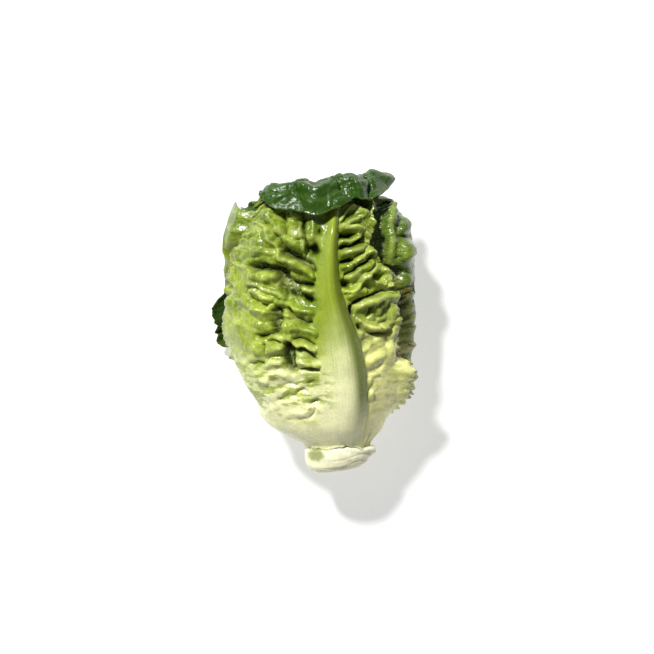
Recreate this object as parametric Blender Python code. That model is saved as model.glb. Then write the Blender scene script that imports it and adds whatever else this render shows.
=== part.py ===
"""Compact romaine lettuce head, lying on its back as cut, with +Y from the cut butt to the leaf tips.

Every leaf is one closed solid, and so is the short stem that they grow from. The leaves stand in a spiral
with the golden angle between neighbours. Leaf 1 is the oldest and lies outside the others, facing up.
A sheet is laid out by two numbers: a row number that runs from foot to tip along the side veins, and a
column number that runs from the midrib to the margins. Each leaf lies one layer below every older leaf
that covers it, so no two leaves cross.
"""

import math
from dataclasses import dataclass

import bpy
import numpy as np
from mathutils import Vector
from mathutils.bvhtree import BVHTree

# Driving sizes of the head, in metres. The origin is the middle of the flat spot that the head lies on.
LEAF_COUNT = 16
GOLDEN_ANGLE = math.radians(137.5)
FRONT_AZIMUTH = math.radians(8.0)  # of leaf 1's middle, from straight up, towards +X
AXIS_HEIGHT = 0.0374  # of the head's axis above the surface
DEPTH_SHARE = 0.86  # the head's depth over its width
AXIS_OFFSET_X = -0.0026  # puts the belly's lowest line over the origin

# Where the axis runs, and the head's mean radius, against the distance along it: (y, value).
AXIS_X = ((-0.074, 0.0128), (-0.065, 0.0138), (-0.058, 0.0102), (-0.050, 0.0070), (-0.040, 0.0066),
          (-0.020, 0.0052), (0.0, 0.0032), (0.030, 0.0026), (0.045, 0.0020), (0.060, 0.0006), (0.080, 0.0))
HEAD_RADIUS = ((-0.068, 0.0158), (-0.064, 0.0186), (-0.060, 0.0218), (-0.055, 0.0260), (-0.050, 0.0302),
               (-0.040, 0.0366), (-0.030, 0.0410), (-0.020, 0.0440), (-0.005, 0.0460), (0.020, 0.0466),
               (0.040, 0.0464), (0.050, 0.0434), (0.060, 0.0384), (0.070, 0.0315), (0.085, 0.0200))

# The stem: its cut butt, the ledge that the oldest leaf stands on, and the cone inside the head.
STEM_PROFILE = ((-0.0752, 0.0), (-0.0754, 0.0062), (-0.0748, 0.0112), (-0.0728, 0.0142), (-0.0690, 0.0162),
                (-0.0650, 0.0170), (-0.0630, 0.0162), (-0.0623, 0.0146), (-0.0590, 0.0138), (-0.0560, 0.0130),
                (-0.0520, 0.0120), (-0.0460, 0.0106), (-0.0380, 0.0090), (-0.0250, 0.0066), (-0.0100, 0.0042),
                (0.0040, 0.0022), (0.0075, 0.0))
LEDGE = 7  # the place in that profile where the cone starts
STEM_SIDES = 24
CUT_SLANT = 0.13  # rise of the cut face for each unit towards +X
SCAR_RELIEF = 0.0011  # how far the scars of trimmed leaves stand out of the butt

FOOT_LOWEST = -0.0615
FOOT_STEP = 0.0036  # from one leaf's foot to the next, up the stem
TIP_HIGHEST = 0.0660
TIP_DROP = 0.0410  # from the oldest leaf's tip to the youngest's
CLEARANCE = 0.0003

# Layer depths, from a leaf's mean sheet to that of the next leaf under it.
FRONT_LAYER = 0.0105
OUTER_LAYER = 0.0053
INNER_LAYER = 0.0027
COVER_START, COVER_END = 0.004, 0.017  # beyond an older leaf's margin, where its cover fades out
BLADE = 0.0009  # thickness of the green blade
VEINS = 13  # side veins on each side of the midrib
RIB_COLUMN = 0.2  # the column number at the midrib's edge
PRESS_CLEARANCE = 0.0007
PRESS_STEP, PRESS_ROUNDS = 0.0004, 40

SEAT_LEAF = 1  # the lowest leaf, which carries the head
# The flat spot is a triangle near these (x, y) places, and beyond it the leaf starts this high and climbs.
SPOT_CORNERS = ((-0.0130, -0.0170), (0.0160, -0.0170), (0.0030, 0.0430))
SPOT_EDGE, SPOT_CLIMB = 0.0005, 0.03


def smooth_step(low, high, x):
    t = np.clip((x - low) / (high - low), 0.0, 1.0)
    return t * t * (3.0 - 2.0 * t)


def curve(x, knots):
    """A smooth line through (x, value) knots that never overshoots them."""
    xs = np.array([k[0] for k in knots], float)
    ys = np.array([k[1] for k in knots], float)
    h = np.diff(xs)
    slope = np.diff(ys) / h
    tangent = np.zeros(len(xs))
    tangent[0], tangent[-1] = slope[0], slope[-1]
    for k in range(1, len(xs) - 1):
        if slope[k - 1] * slope[k] > 0.0:
            tangent[k] = 2.0 * slope[k - 1] * slope[k] / (slope[k - 1] + slope[k])
    x = np.clip(x, xs[0], xs[-1])
    i = np.clip(np.searchsorted(xs, x, side="right") - 1, 0, len(h) - 1)
    t = (x - xs[i]) / h[i]
    return (
        ys[i] * (1 + 2 * t) * (1 - t) ** 2
        + tangent[i] * h[i] * t * (1 - t) ** 2
        + ys[i + 1] * t * t * (3 - 2 * t)
        + tangent[i + 1] * h[i] * t * t * (t - 1)
    )


NOISE_SIDE = 64


def noise(a, b, seed):
    """Smooth noise from -1 to 1 over two coordinates, with one hill or dip for each unit."""
    table = np.random.default_rng(seed).uniform(-1.0, 1.0, (NOISE_SIDE, NOISE_SIDE))
    ia, ib = np.floor(a).astype(int), np.floor(b).astype(int)
    fa, fb = a - ia, b - ib
    fa, fb = fa * fa * (3 - 2 * fa), fb * fb * (3 - 2 * fb)

    def at(da, db):
        return table[(ia + da) % NOISE_SIDE, (ib + db) % NOISE_SIDE]

    low = at(0, 0) * (1 - fa) + at(1, 0) * fa
    high = at(0, 1) * (1 - fa) + at(1, 1) * fa
    return low * (1 - fb) + high * fb


@dataclass
class Leaf:
    """One leaf's own numbers. Half-widths are in degrees about the head's axis, against the share of height."""

    index: int
    tip: float
    left: tuple
    right: tuple
    sway: tuple  # degrees that the midrib strays, against y
    crown: float  # how far the top margin falls from the middle to the sides, as a share of height
    point: float  # 1.5 gives a round top margin, and near 1 a pointed one
    rib_width: float  # half the midrib's width at the foot
    rib_height: float
    layer: float  # depth of the layer that the leaf takes
    flap: float = 0.0  # length of the tip that is folded outwards
    flare: float = 0.0  # how far the right margin stands out from the head near FLARE_AT

    @property
    def foot(self):
        return FOOT_LOWEST + FOOT_STEP * self.index

    @property
    def height(self):
        return self.tip + self.flap - self.foot

    @property
    def azimuth(self):
        return FRONT_AZIMUTH + GOLDEN_ANGLE * self.index


FLARE_AT = (0.003, 0.018)  # where along the head a margin flares, and over what distance
FULL_SPREAD = math.radians(104)  # the half-width of a leaf whose side veins climb in full
FRONT_LEFT = ((0.0, 90), (0.06, 98), (0.14, 106), (0.28, 108), (0.40, 104), (0.48, 88), (0.55, 76),
              (0.62, 68), (0.68, 57), (0.74, 55), (0.84, 60), (1.0, 60))
FRONT_RIGHT = ((0.0, 62), (0.08, 66), (0.15, 66), (0.28, 62), (0.40, 56), (0.48, 49), (0.55, 45),
               (0.62, 38), (0.69, 33), (0.76, 31), (0.84, 36), (1.0, 36))
PLAIN_SIDE = ((0.0, 52), (0.1, 56), (0.3, 76), (0.55, 90), (0.8, 84), (1.0, 58))
FLARED_SIDE = ((0.0, 52), (0.1, 58), (0.3, 82), (0.5, 101), (0.62, 97), (0.8, 80), (1.0, 58))
HEART_SIDE = ((0.0, 56), (0.2, 72), (0.55, 92), (0.8, 86), (1.0, 60))


def make_leaves():
    leaves = []
    for i in range(LEAF_COUNT):
        age = i / (LEAF_COUNT - 1)
        side = PLAIN_SIDE if i < 9 else HEART_SIDE
        draw = np.random.default_rng(300 + i)
        stray = draw.uniform(-5.0, 5.0, 3)
        leaves.append(
            Leaf(
                index=i,
                tip=TIP_HIGHEST - TIP_DROP * age * age,
                left=side,
                right=side,
                sway=((-0.06, stray[0]), (0.0, stray[1]), (0.07, stray[2])),
                crown=0.15,
                point=1.6,
                rib_width=0.0100 - 0.0078 * age,
                rib_height=0.0046 * (1 - age) + 0.0010,
                layer=OUTER_LAYER + (INNER_LAYER - OUTER_LAYER) * min(1.0, i / 8),
            )
        )
    front, back, left = leaves[0], leaves[1], leaves[2]
    front.tip, front.flap = 0.0640, 0.0260
    front.left, front.right, front.layer = FRONT_LEFT, FRONT_RIGHT, FRONT_LAYER
    front.sway = ((-0.060, 6.4), (-0.047, 10.1), (-0.034, 7.8), (-0.021, 5.4), (-0.008, 3.8), (0.005, 0.3),
                  (0.018, -1.2), (0.031, -0.6), (0.044, 2.0), (0.0525, 5.4), (0.059, 14.0), (0.066, 22.0))
    front.crown, front.point, front.rib_width, front.rib_height = 0.13, 2.4, 0.0104, 0.0052
    back.tip, back.crown, back.flare, back.right = 0.0640, 0.12, 0.0160, FLARED_SIDE
    left.tip, left.crown, left.point = 0.0590, 0.21, 1.15
    left.sway = ((-0.06, 0.0), (0.0, 0.0), (0.07, -5.0))
    return leaves


LEAVES = make_leaves()


def row_rise(leaf, side, v, u):
    """How far a row climbs towards the margins, as a share of height: up along the side veins, down at the tip."""
    spread = half_angle(leaf, side, 0.5) / FULL_SPREAD
    climb = spread * curve(v, ((0.0, 0.0), (0.22, 0.15), (0.45, 0.17), (0.75, 0.09), (1.0, 0.0)))
    drop = leaf.crown * smooth_step(0.30, 1.0, v)
    return climb * np.abs(u) ** 1.25 - drop * np.abs(u) ** leaf.point


def half_angle(leaf, side, share):
    """The margin's angle from the midrib at a share of the height, in radians. side is -1 or 1."""
    return np.radians(np.where(side < 0, curve(share, leaf.left), curve(share, leaf.right)))


def axis_radius(y):
    return curve(y, HEAD_RADIUS)


def midrib_angle(leaf, y):
    return leaf.azimuth + np.radians(curve(y, leaf.sway))


def turned(angle):
    """The angle brought between minus half a turn and half a turn."""
    return (angle + math.pi) % (2 * math.pi) - math.pi


def cover(leaf, angle, y):
    """1 where the leaf lies over a place on the head, and 0 well beyond its margin."""
    share = (y - leaf.foot) / leaf.height
    away = turned(angle - midrib_angle(leaf, y))
    side_top = 1.0 - leaf.crown
    near_tip = np.clip((1.0 - share) / leaf.crown, 0.0, 1.0) ** (1.0 / leaf.point)
    reach = half_angle(leaf, np.sign(away), share)
    reach = reach * np.where(share > side_top, near_tip, 1.0)
    beyond = (np.abs(away) - reach) * axis_radius(y)
    sideways = 1.0 - smooth_step(COVER_START, COVER_END, beyond)
    above = 1.0 - smooth_step(COVER_START, COVER_END, y - leaf.tip)
    return sideways * above * smooth_step(-0.004, 0.004, y - leaf.foot)


def stem_radius(y):
    xs = [p[0] for p in STEM_PROFILE[LEDGE:]]
    rs = [p[1] for p in STEM_PROFILE[LEDGE:]]
    return np.interp(y, xs, rs)


def exposure(leaf, angle, y):
    """1 where no older leaf covers this one."""
    shown = np.ones_like(y)
    for older in LEAVES[: leaf.index]:
        shown = shown * (1.0 - cover(older, angle, y))
    return shown


def sheet_radius(leaf, angle, y):
    """The leaf's mean sheet: off the stem at its foot, then one layer below each older leaf over it."""
    foot = stem_radius(np.full_like(y, leaf.foot)) + CLEARANCE + 0.7 * BLADE
    rise = axis_radius(FOOT_LOWEST + np.maximum(y - leaf.foot, 0.0)) - axis_radius(FOOT_LOWEST)
    near_stem = foot + rise * (1.0 - 0.047 * leaf.index)
    stacked = axis_radius(y)
    for older in LEAVES[: leaf.index]:
        stacked = stacked - older.layer * cover(older, angle, y)
    stacked = np.maximum(stacked, near_stem)
    start, end = (0.0, 0.009) if leaf.index == 0 else (0.002, 0.018 + 0.001 * leaf.index)
    free = smooth_step(leaf.foot + start, leaf.foot + end, y)
    return near_stem + (stacked - near_stem) * free


def vein_rows(leaf):
    """Row numbers of the side veins, left and right by turns, a little uneven as they grow."""
    steps = 1.0 + np.random.default_rng(500 + leaf.index).uniform(-0.22, 0.22, 2 * VEINS)
    steps = steps * curve(np.linspace(0, 1, 2 * VEINS), ((0.0, 0.8), (0.4, 1.15), (1.0, 0.85)))
    return np.concatenate([[0.0], np.cumsum(steps)]) / steps.sum()


def wander(leaf, side, from_mid, v):
    """How far the side veins stray along the head, so that no two panels are alike."""
    stray = noise(from_mid / 0.017 + 3.0, v * VEINS * 0.9 + np.where(side < 0, 5.0, 27.0), 600 + leaf.index)
    free = smooth_step(0.012, 0.030, from_mid) * smooth_step(0.05, 0.20, v) * (1.0 - smooth_step(0.86, 0.97, v))
    width = np.maximum(half_angle(leaf, side, v) * axis_radius(leaf.foot + leaf.height * v), 0.010)
    return 0.0017 * leaf.height / 0.13 * stray * free * (1.0 - 0.7 * np.clip(from_mid / width, 0.0, 1.0))


def rib_half_width(leaf, v):
    return leaf.rib_width * curve(v, ((0.0, 1.0), (0.22, 1.0), (0.38, 0.80), (0.52, 0.50),
                                      (0.66, 0.34), (0.76, 0.23), (0.88, 0.16), (1.0, 0.08)))


def rib_ridge(leaf, across, v):
    """How far the midrib stands out of the sheet. across is the distance from its middle over its half-width."""
    height = leaf.rib_height * curve(v, ((0.0, 1.0), (0.35, 0.85), (0.60, 0.55), (0.85, 0.28), (1.0, 0.08)))
    return height * np.sqrt(np.clip(1.0 - np.clip(across, 0, 1) ** 2.4, 0.0, 1.0))


def crinkle(leaf, u, v, from_rib, y, shown):
    """Height of the blade over the mean sheet: pockets between side veins, blisters, and waves at the margin."""
    seed = 700 + 10 * leaf.index
    size = 1.0 - 0.5 * leaf.index / LEAF_COUNT
    count = np.interp(v, vein_rows(leaf), np.arange(2 * VEINS + 1)) / 2.0
    between = (count + np.where(u < 0, 0.0, 0.5)) % 1.0
    panel = np.sin(math.pi * between) ** 1.3
    cell = noise(from_rib / 0.013 + 7.0, count * 2.0 + np.where(u < 0, 3.0, 31.0), seed)
    pocket = curve(from_rib, ((0.0, 0.0), (0.004, 0.80), (0.012, 1.0), (0.026, 0.70), (0.044, 0.25), (0.090, 0.15)))
    blister = smooth_step(0.012, 0.034, from_rib)
    # The pale lower blade is firm and nearly smooth.
    firm = smooth_step(0.10, 0.40, v) * (1.0 - 0.75 * smooth_step(0.90, 1.0, v))
    depth = np.clip(0.80 + 0.85 * cell, 0.10, 1.4)
    height = 0.0018 * pocket - 0.0120 * pocket * panel * depth
    height = height + 0.0065 * blister * panel * (cell + 0.10)
    height = height * firm * (1.0 - 0.7 * smooth_step(leaf.tip, leaf.tip + 0.006, y))
    swell = noise(from_rib / 0.030 + 2.0, y / 0.030 + np.where(u < 0, 9.0, 40.0), seed + 1)
    height = height + 0.0026 * swell * smooth_step(0.006, 0.030, from_rib)
    wave = noise(y / 0.0085 + 20.0, np.where(u < 0, 4.0, 12.0), seed + 2)
    height = height + 0.0042 * wave * smooth_step(0.72, 1.0, np.abs(u)) * smooth_step(0.08, 0.25, v)
    outward = np.maximum(height, 0.0) * (0.34 + 0.66 * shown)
    inward = np.minimum(height, 0.0)
    deepest = leaf.layer - BLADE - CLEARANCE - 0.0019
    inward = -deepest * np.tanh(-inward / deepest)
    free = 0.0019 + 0.0060 * shown
    outward = free * np.tanh(outward / free)
    return (outward + inward) * size * smooth_step(0.0, 0.14, v)


FOLD_RADIUS, FOLD_TURN = 0.0040, math.radians(150)


def fold_line(leaf, away):
    """How far up the head the tip folds over, which rises to the right and rolls like the crinkles under it."""
    return leaf.tip + 0.0040 * np.sin(away + 0.2) + 0.0016 * np.sin(9.0 * away + 0.6)


def fold_out(beyond):
    """What a fold makes of the length beyond it: how far it goes on along the head, and how far outwards."""
    angle = np.clip(beyond / FOLD_RADIUS, 0.0, FOLD_TURN)
    straight = np.maximum(beyond - FOLD_RADIUS * FOLD_TURN, 0.0)
    along = FOLD_RADIUS * np.sin(angle) + straight * math.cos(FOLD_TURN)
    out = FOLD_RADIUS * (1.0 - np.cos(angle)) + straight * math.sin(FOLD_TURN)
    return along, out


def sheet_points(leaf, columns, rows):
    """The leaf's mean sheet as x, y, z grids, with the numbers that its thickness and crinkles need."""
    c, v = np.meshgrid(columns, rows)
    side = np.where(c < 0, -1.0, 1.0)
    reach = half_angle(leaf, side, v + row_rise(leaf, side, v, 1.0))
    near = leaf.foot + leaf.height * np.clip(v, 0, 1)
    width = reach * np.maximum(axis_radius(near), 0.004)
    rib = np.minimum(rib_half_width(leaf, v), 0.8 * width)
    a = np.abs(c)
    from_mid = np.where(a <= RIB_COLUMN, rib * a / RIB_COLUMN, rib + (width - rib) * np.maximum(a - RIB_COLUMN, 0)
                        / (1 - RIB_COLUMN))
    u = side * from_mid / width
    y = leaf.foot + leaf.height * (v + row_rise(leaf, side, v, u))
    y = y + wander(leaf, side, from_mid, v)
    beyond = np.maximum(y - fold_line(leaf, u * reach), 0.0) if leaf.flap else np.zeros_like(y)
    y_on_head = y - beyond
    angle = midrib_angle(leaf, y_on_head) + u * reach
    radius = sheet_radius(leaf, angle, y_on_head)
    at_flare = np.exp(-(((y - FLARE_AT[0]) / FLARE_AT[1]) ** 2))
    radius = radius + leaf.flare * smooth_step(0.72, 1.0, u) * at_flare
    return {
        "u": u, "v": v, "y": y, "y_on_head": y_on_head, "beyond": beyond, "angle": angle, "radius": radius,
        "across": from_mid / rib, "from_rib": np.maximum(from_mid - rib, 0.0),
    }


def on_head(y, angle, radius):
    """World points at a distance along the head, an angle about its axis and a radius."""
    x = curve(y, AXIS_X) + AXIS_OFFSET_X + radius * np.sin(angle)
    z = AXIS_HEIGHT + DEPTH_SHARE * radius * np.cos(angle)
    return np.stack([x, y + 0.0 * x, z], -1)


def normals(points):
    """Unit normals of a grid of points, outwards from the head."""
    along, across = np.gradient(points, axis=0), np.gradient(points, axis=1)
    found = np.cross(across, along)
    return found / np.maximum(np.linalg.norm(found, axis=-1, keepdims=True), 1e-12)


def middle_sheet(leaf, grid, lift):
    """World points of the leaf's middle, with its crinkles and its fold."""
    along, out = fold_out(grid["beyond"])
    smooth = on_head(grid["y_on_head"], grid["angle"], grid["radius"])
    folded = on_head(grid["y_on_head"], grid["angle"], grid["radius"] + out)
    folded[..., 1] += along
    return folded + normals(folded if leaf.flap else smooth) * lift[..., None]


def finer(grid):
    """The grid with two more places between each two along both of its ways."""
    for axis in (0, 1):
        low, high = (np.delete(grid, k, axis=axis) for k in (-1, 0))
        between = [low, low + (high - low) / 3, low + (high - low) * 2 / 3]
        count = grid.shape[axis]
        stacked = np.stack(between, axis=axis + 1)
        shape = list(low.shape)
        shape[axis] = 3 * (count - 1)
        last = np.take(grid, [-1], axis=axis)
        grid = np.concatenate([stacked.reshape(shape), last], axis=axis)
    return grid


def pressed(points, older, thickness):
    """Moves the sheet towards the head's axis wherever it would come too near to an older leaf over it."""
    if older is None:
        return points
    spots, rise = finer(points), finer(thickness)
    centres = axis_point(spots[..., 1])
    way = spots - centres
    length = np.linalg.norm(way, axis=-1)
    need = np.zeros(length.shape)
    for place in np.ndindex(length.shape):
        hit = older.ray_cast(Vector(centres[place]), Vector(way[place]) / length[place])[3]
        if hit is not None:
            need[place] = max(0.0, length[place] + rise[place] + PRESS_CLEARANCE - hit)
    push = np.zeros(thickness.shape)
    for r, c in np.ndindex(push.shape):
        push[r, c] = need[max(0, 3 * r - 2):3 * r + 3, max(0, 3 * c - 2):3 * c + 3].max()
    way = points - axis_point(points[..., 1])
    return points - way / np.linalg.norm(way, axis=-1, keepdims=True) * push[..., None]


def off_table(grid):
    """0 where the head's weight presses the sheet flat on the surface, and 1 clear of it."""
    return smooth_step(0.0004, 0.0060, AXIS_HEIGHT + DEPTH_SHARE * grid["radius"] * np.cos(grid["angle"]))


def clear_of_stem(points):
    """Moves the sheet out wherever it would come too near to the stem's cone."""
    centres = axis_point(points[..., 1])
    way = points - centres
    radius = np.hypot(way[..., 0], way[..., 2] / DEPTH_SHARE)
    least = stem_radius(points[..., 1]) + CLEARANCE + 0.7 * BLADE
    least = np.where(points[..., 1] < STEM_PROFILE[-1][0] + 0.002, least, 0.0)
    return centres + way * np.maximum(least / np.maximum(radius, 1e-6), 1.0)[..., None]


def axis_point(y):
    x = curve(y, AXIS_X) + AXIS_OFFSET_X
    return np.stack([x, y + 0.0 * x, AXIS_HEIGHT + 0.0 * x], -1)


def column_numbers(left, right, fine_rib):
    """Columns from the left margin to the right: on each side the rib and its edge, then out to the margin."""
    rib = [0.6 * RIB_COLUMN, RIB_COLUMN] if fine_rib else [RIB_COLUMN]

    def side(count):
        return np.concatenate([rib, RIB_COLUMN + (1 - RIB_COLUMN) * (np.arange(1, count + 1) / count) ** 1.25])

    return np.concatenate([-side(left)[::-1], [0.0], side(right)])


def leaf_faces(rows, cols):
    """Triangles of a closed sheet: the outer grid, then the inner one split alike, then the rim."""
    faces = []
    shift = rows * cols

    def at(r, c):
        return r * cols + c

    for r in range(rows - 1):
        for c in range(cols - 1):
            a, b, d, e = at(r, c), at(r, c + 1), at(r + 1, c + 1), at(r + 1, c)
            for tri in ((a, b, d), (a, d, e)):
                faces.append(tri)
                faces.append(tuple(shift + k for k in reversed(tri)))
    rim = [at(0, c) for c in range(cols)]
    rim += [at(r, cols - 1) for r in range(1, rows)]
    rim += [at(rows - 1, c) for c in range(cols - 2, -1, -1)]
    rim += [at(r, 0) for r in range(rows - 2, 0, -1)]
    for k, here in enumerate(rim):
        there = rim[(k + 1) % len(rim)]
        faces.append((here, shift + here, shift + there))
        faces.append((here, shift + there, there))
    return faces


def detail_of(leaf):
    """Columns left and right of the midrib, and how many half panels one row spans."""
    for last, detail in ((0, (10, 7, 1)), (3, (7, 7, 1)), (6, (5, 5, 2)), (10, (4, 4, 3))):
        if leaf.index <= last:
            return detail
    return 3, 3, 4


def build_leaf(leaf, material, older):
    left, right, step = detail_of(leaf)
    columns = column_numbers(left, right, leaf.index < 7)
    rows = vein_rows(leaf)[::step]
    if rows[-1] < 0.999:
        rows = np.append(rows, 1.0)
    grid = sheet_points(leaf, columns, rows)
    shown = exposure(leaf, grid["angle"], grid["y_on_head"])
    lift = crinkle(leaf, grid["u"], grid["v"], grid["from_rib"], grid["y"], shown) * off_table(grid)
    ridge = rib_ridge(leaf, grid["across"], grid["v"])
    points = middle_sheet(leaf, grid, lift)
    for _ in range(2):
        points = pressed(points, older, ridge + BLADE / 2)
    faces = leaf_faces(len(rows), len(columns))
    for _ in range(PRESS_ROUNDS):
        points = clear_of_stem(points)
        corners = both_sides(leaf, points, ridge)
        tree = BVHTree.FromPolygons(corners.tolist(), faces)
        crossing = tree.overlap(older) if older else []
        folded = [pair for pair in tree.overlap(tree) if not set(faces[pair[0]]) & set(faces[pair[1]])]
        if not crossing and not folded:
            break
        way = points - axis_point(points[..., 1])
        step = corners_in(ridge.shape, crossing, faces) * PRESS_STEP
        points = points - way / np.linalg.norm(way, axis=-1, keepdims=True) * step
        soften = 0.5 * corners_in(ridge.shape, folded, faces)
        points = points * (1.0 - soften) + neighbours_mean(points) * soften
    add_mesh(f"leaf_{leaf.index + 1:02d}", corners, faces, material)
    return corners, faces


def corners_in(shape, pairs, faces):
    """1 at each place of a grid that a triangle named first in the pairs uses, and 0 elsewhere."""
    used = {k % (shape[0] * shape[1]) for own, _ in pairs for k in faces[own]}
    return np.isin(np.arange(shape[0] * shape[1]), list(used)).reshape(*shape, 1) * 1.0


def neighbours_mean(points):
    wide = np.pad(points, ((1, 1), (1, 1), (0, 0)), mode="edge")
    return (wide[:-2, 1:-1] + wide[2:, 1:-1] + wide[1:-1, :-2] + wide[1:-1, 2:]) / 4.0


def both_sides(leaf, points, ridge):
    """Corners of the outer side, with the midrib's ridge, then of the inner side."""
    up = normals(points)
    outer = points + up * (BLADE / 2 + ridge[..., None])
    inner = points - up * BLADE / 2
    outer[0, :, 1] = inner[0, :, 1] = leaf.foot
    least = seat_height(outer) if leaf.index == SEAT_LEAF else np.full(ridge.shape, SPOT_EDGE)
    outer[..., 2] = np.where(least > 0.0, np.maximum(outer[..., 2], least), 0.0)
    inner[..., 2] = np.where(least > 0.0, np.maximum(inner[..., 2], least + BLADE), BLADE)
    return np.concatenate([outer.reshape(-1, 3), inner.reshape(-1, 3)])


def seat_height(outer):
    """How high each place of the lowest leaf must lie: 0 on the flat spot, whose corners are three of the places."""
    places = outer[..., :2].reshape(-1, 2)
    upper = outer[..., 2].ravel() > AXIS_HEIGHT / 2
    spot = [places[np.argmin(np.hypot(*(places - corner).T) + upper)] for corner in SPOT_CORNERS]
    beyond = np.where(upper, 0.001, -1.0)
    for here, there in zip(spot, spot[1:] + spot[:1]):
        way = (there - here) / np.linalg.norm(there - here)
        beyond = np.maximum(beyond, (places - here) @ np.array([way[1], -way[0]]))
    return np.where(beyond < 1e-6, 0.0, SPOT_EDGE + SPOT_CLIMB * beyond).reshape(outer.shape[:2])


def add_mesh(name, points, faces, material):
    mesh = bpy.data.meshes.new(name)
    mesh.from_pydata([tuple(map(float, p)) for p in points], [], faces)
    mesh.materials.append(material)
    mesh.shade_smooth()
    mesh.set_sharp_from_angle(angle=math.radians(28))
    made = bpy.data.objects.new(name, mesh)
    bpy.context.scene.collection.objects.link(made)
    return made


def build_stem(material):
    """The butt with its cut face and leaf scars, and the cone that carries the leaves, turned about the axis."""
    points, faces = [], []
    inside = STEM_PROFILE[1:-1]

    def slanted(x, y):
        return y + CUT_SLANT * (x - 0.0100) * float(1.0 - smooth_step(-0.0754, -0.0645, y))

    for y, radius in inside:
        for k in range(STEM_SIDES):
            angle = 2 * math.pi * k / STEM_SIDES
            butt = smooth_step(-0.0763, -0.0720, y) * (1.0 - smooth_step(-0.0655, -0.0628, y))
            scar = SCAR_RELIEF * float(noise(np.array(angle * 7 / (2 * math.pi)), np.array(y / 0.006), 91)) * butt
            r = radius + scar
            x = float(curve(y, AXIS_X)) + AXIS_OFFSET_X + r * math.sin(angle)
            points.append((x, slanted(x, y), AXIS_HEIGHT + DEPTH_SHARE * r * math.cos(angle)))
    for ring in range(len(inside) - 1):
        for k in range(STEM_SIDES):
            a = ring * STEM_SIDES + k
            b = ring * STEM_SIDES + (k + 1) % STEM_SIDES
            faces.append((a, b, b + STEM_SIDES))
            faces.append((a, b + STEM_SIDES, a + STEM_SIDES))
    for end, ring, turn in ((STEM_PROFILE[0], 0, -1), (STEM_PROFILE[-1], len(inside) - 1, 1)):
        middle = len(points)
        x = float(curve(end[0], AXIS_X)) + AXIS_OFFSET_X
        points.append((x, slanted(x, end[0]), AXIS_HEIGHT))
        for k in range(STEM_SIDES):
            edge = (ring * STEM_SIDES + k, ring * STEM_SIDES + (k + 1) % STEM_SIDES)
            faces.append((middle, *edge[::turn]))
    return add_mesh("stem", points, faces, material)


def finish(name, colour, roughness):
    material = bpy.data.materials.new(name)
    material.use_nodes = True
    shader = material.node_tree.nodes["Principled BSDF"]
    shader.inputs["Base Color"].default_value = (*colour, 1.0)
    shader.inputs["Roughness"].default_value = roughness
    shader.inputs["Metallic"].default_value = 0.0
    return material


def main():
    for old in list(bpy.data.objects):
        bpy.data.objects.remove(old)
    build_stem(finish("butt_flesh", (0.86, 0.86, 0.62), 0.55))
    outer = finish("outer_leaf", (0.33, 0.47, 0.10), 0.38)
    heart = finish("heart_leaf", (0.66, 0.72, 0.28), 0.38)
    corners, faces = [], []
    older = None
    for leaf in LEAVES:
        new_corners, new_faces = build_leaf(leaf, outer if leaf.index < 9 else heart, older)
        faces += [tuple(k + len(corners) for k in face) for face in new_faces]
        corners += [tuple(map(float, point)) for point in new_corners]
        older = BVHTree.FromPolygons(corners, faces)


main()
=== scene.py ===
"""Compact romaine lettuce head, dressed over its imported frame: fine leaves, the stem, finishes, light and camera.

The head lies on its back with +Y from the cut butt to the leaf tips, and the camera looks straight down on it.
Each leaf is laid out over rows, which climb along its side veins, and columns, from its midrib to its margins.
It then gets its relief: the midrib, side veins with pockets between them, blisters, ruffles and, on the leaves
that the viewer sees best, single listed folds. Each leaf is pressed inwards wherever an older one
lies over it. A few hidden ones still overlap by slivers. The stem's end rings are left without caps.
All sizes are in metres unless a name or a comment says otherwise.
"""

import logging
import math
from dataclasses import dataclass
from enum import Enum

import bpy
import numpy as np
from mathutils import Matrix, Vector
from mathutils.bvhtree import BVHTree


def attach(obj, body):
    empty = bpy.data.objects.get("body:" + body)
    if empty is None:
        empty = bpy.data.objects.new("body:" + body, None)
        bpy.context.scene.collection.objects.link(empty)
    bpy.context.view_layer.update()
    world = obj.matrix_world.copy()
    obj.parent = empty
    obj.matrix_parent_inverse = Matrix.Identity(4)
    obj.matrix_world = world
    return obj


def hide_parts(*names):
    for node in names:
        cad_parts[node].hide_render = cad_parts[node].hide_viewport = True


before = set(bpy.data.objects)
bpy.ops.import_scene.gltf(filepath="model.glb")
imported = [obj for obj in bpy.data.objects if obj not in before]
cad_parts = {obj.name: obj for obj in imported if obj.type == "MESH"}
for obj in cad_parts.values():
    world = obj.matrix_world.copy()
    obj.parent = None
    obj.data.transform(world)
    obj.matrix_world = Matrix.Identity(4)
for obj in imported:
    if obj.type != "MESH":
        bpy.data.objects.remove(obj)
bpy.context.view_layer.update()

log = logging.getLogger("romaine")

Knots = tuple[tuple[float, float], ...]
Colour = tuple[float, float, float]
Array = np.ndarray
Sockets = bpy.types.bpy_prop_collection

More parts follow.
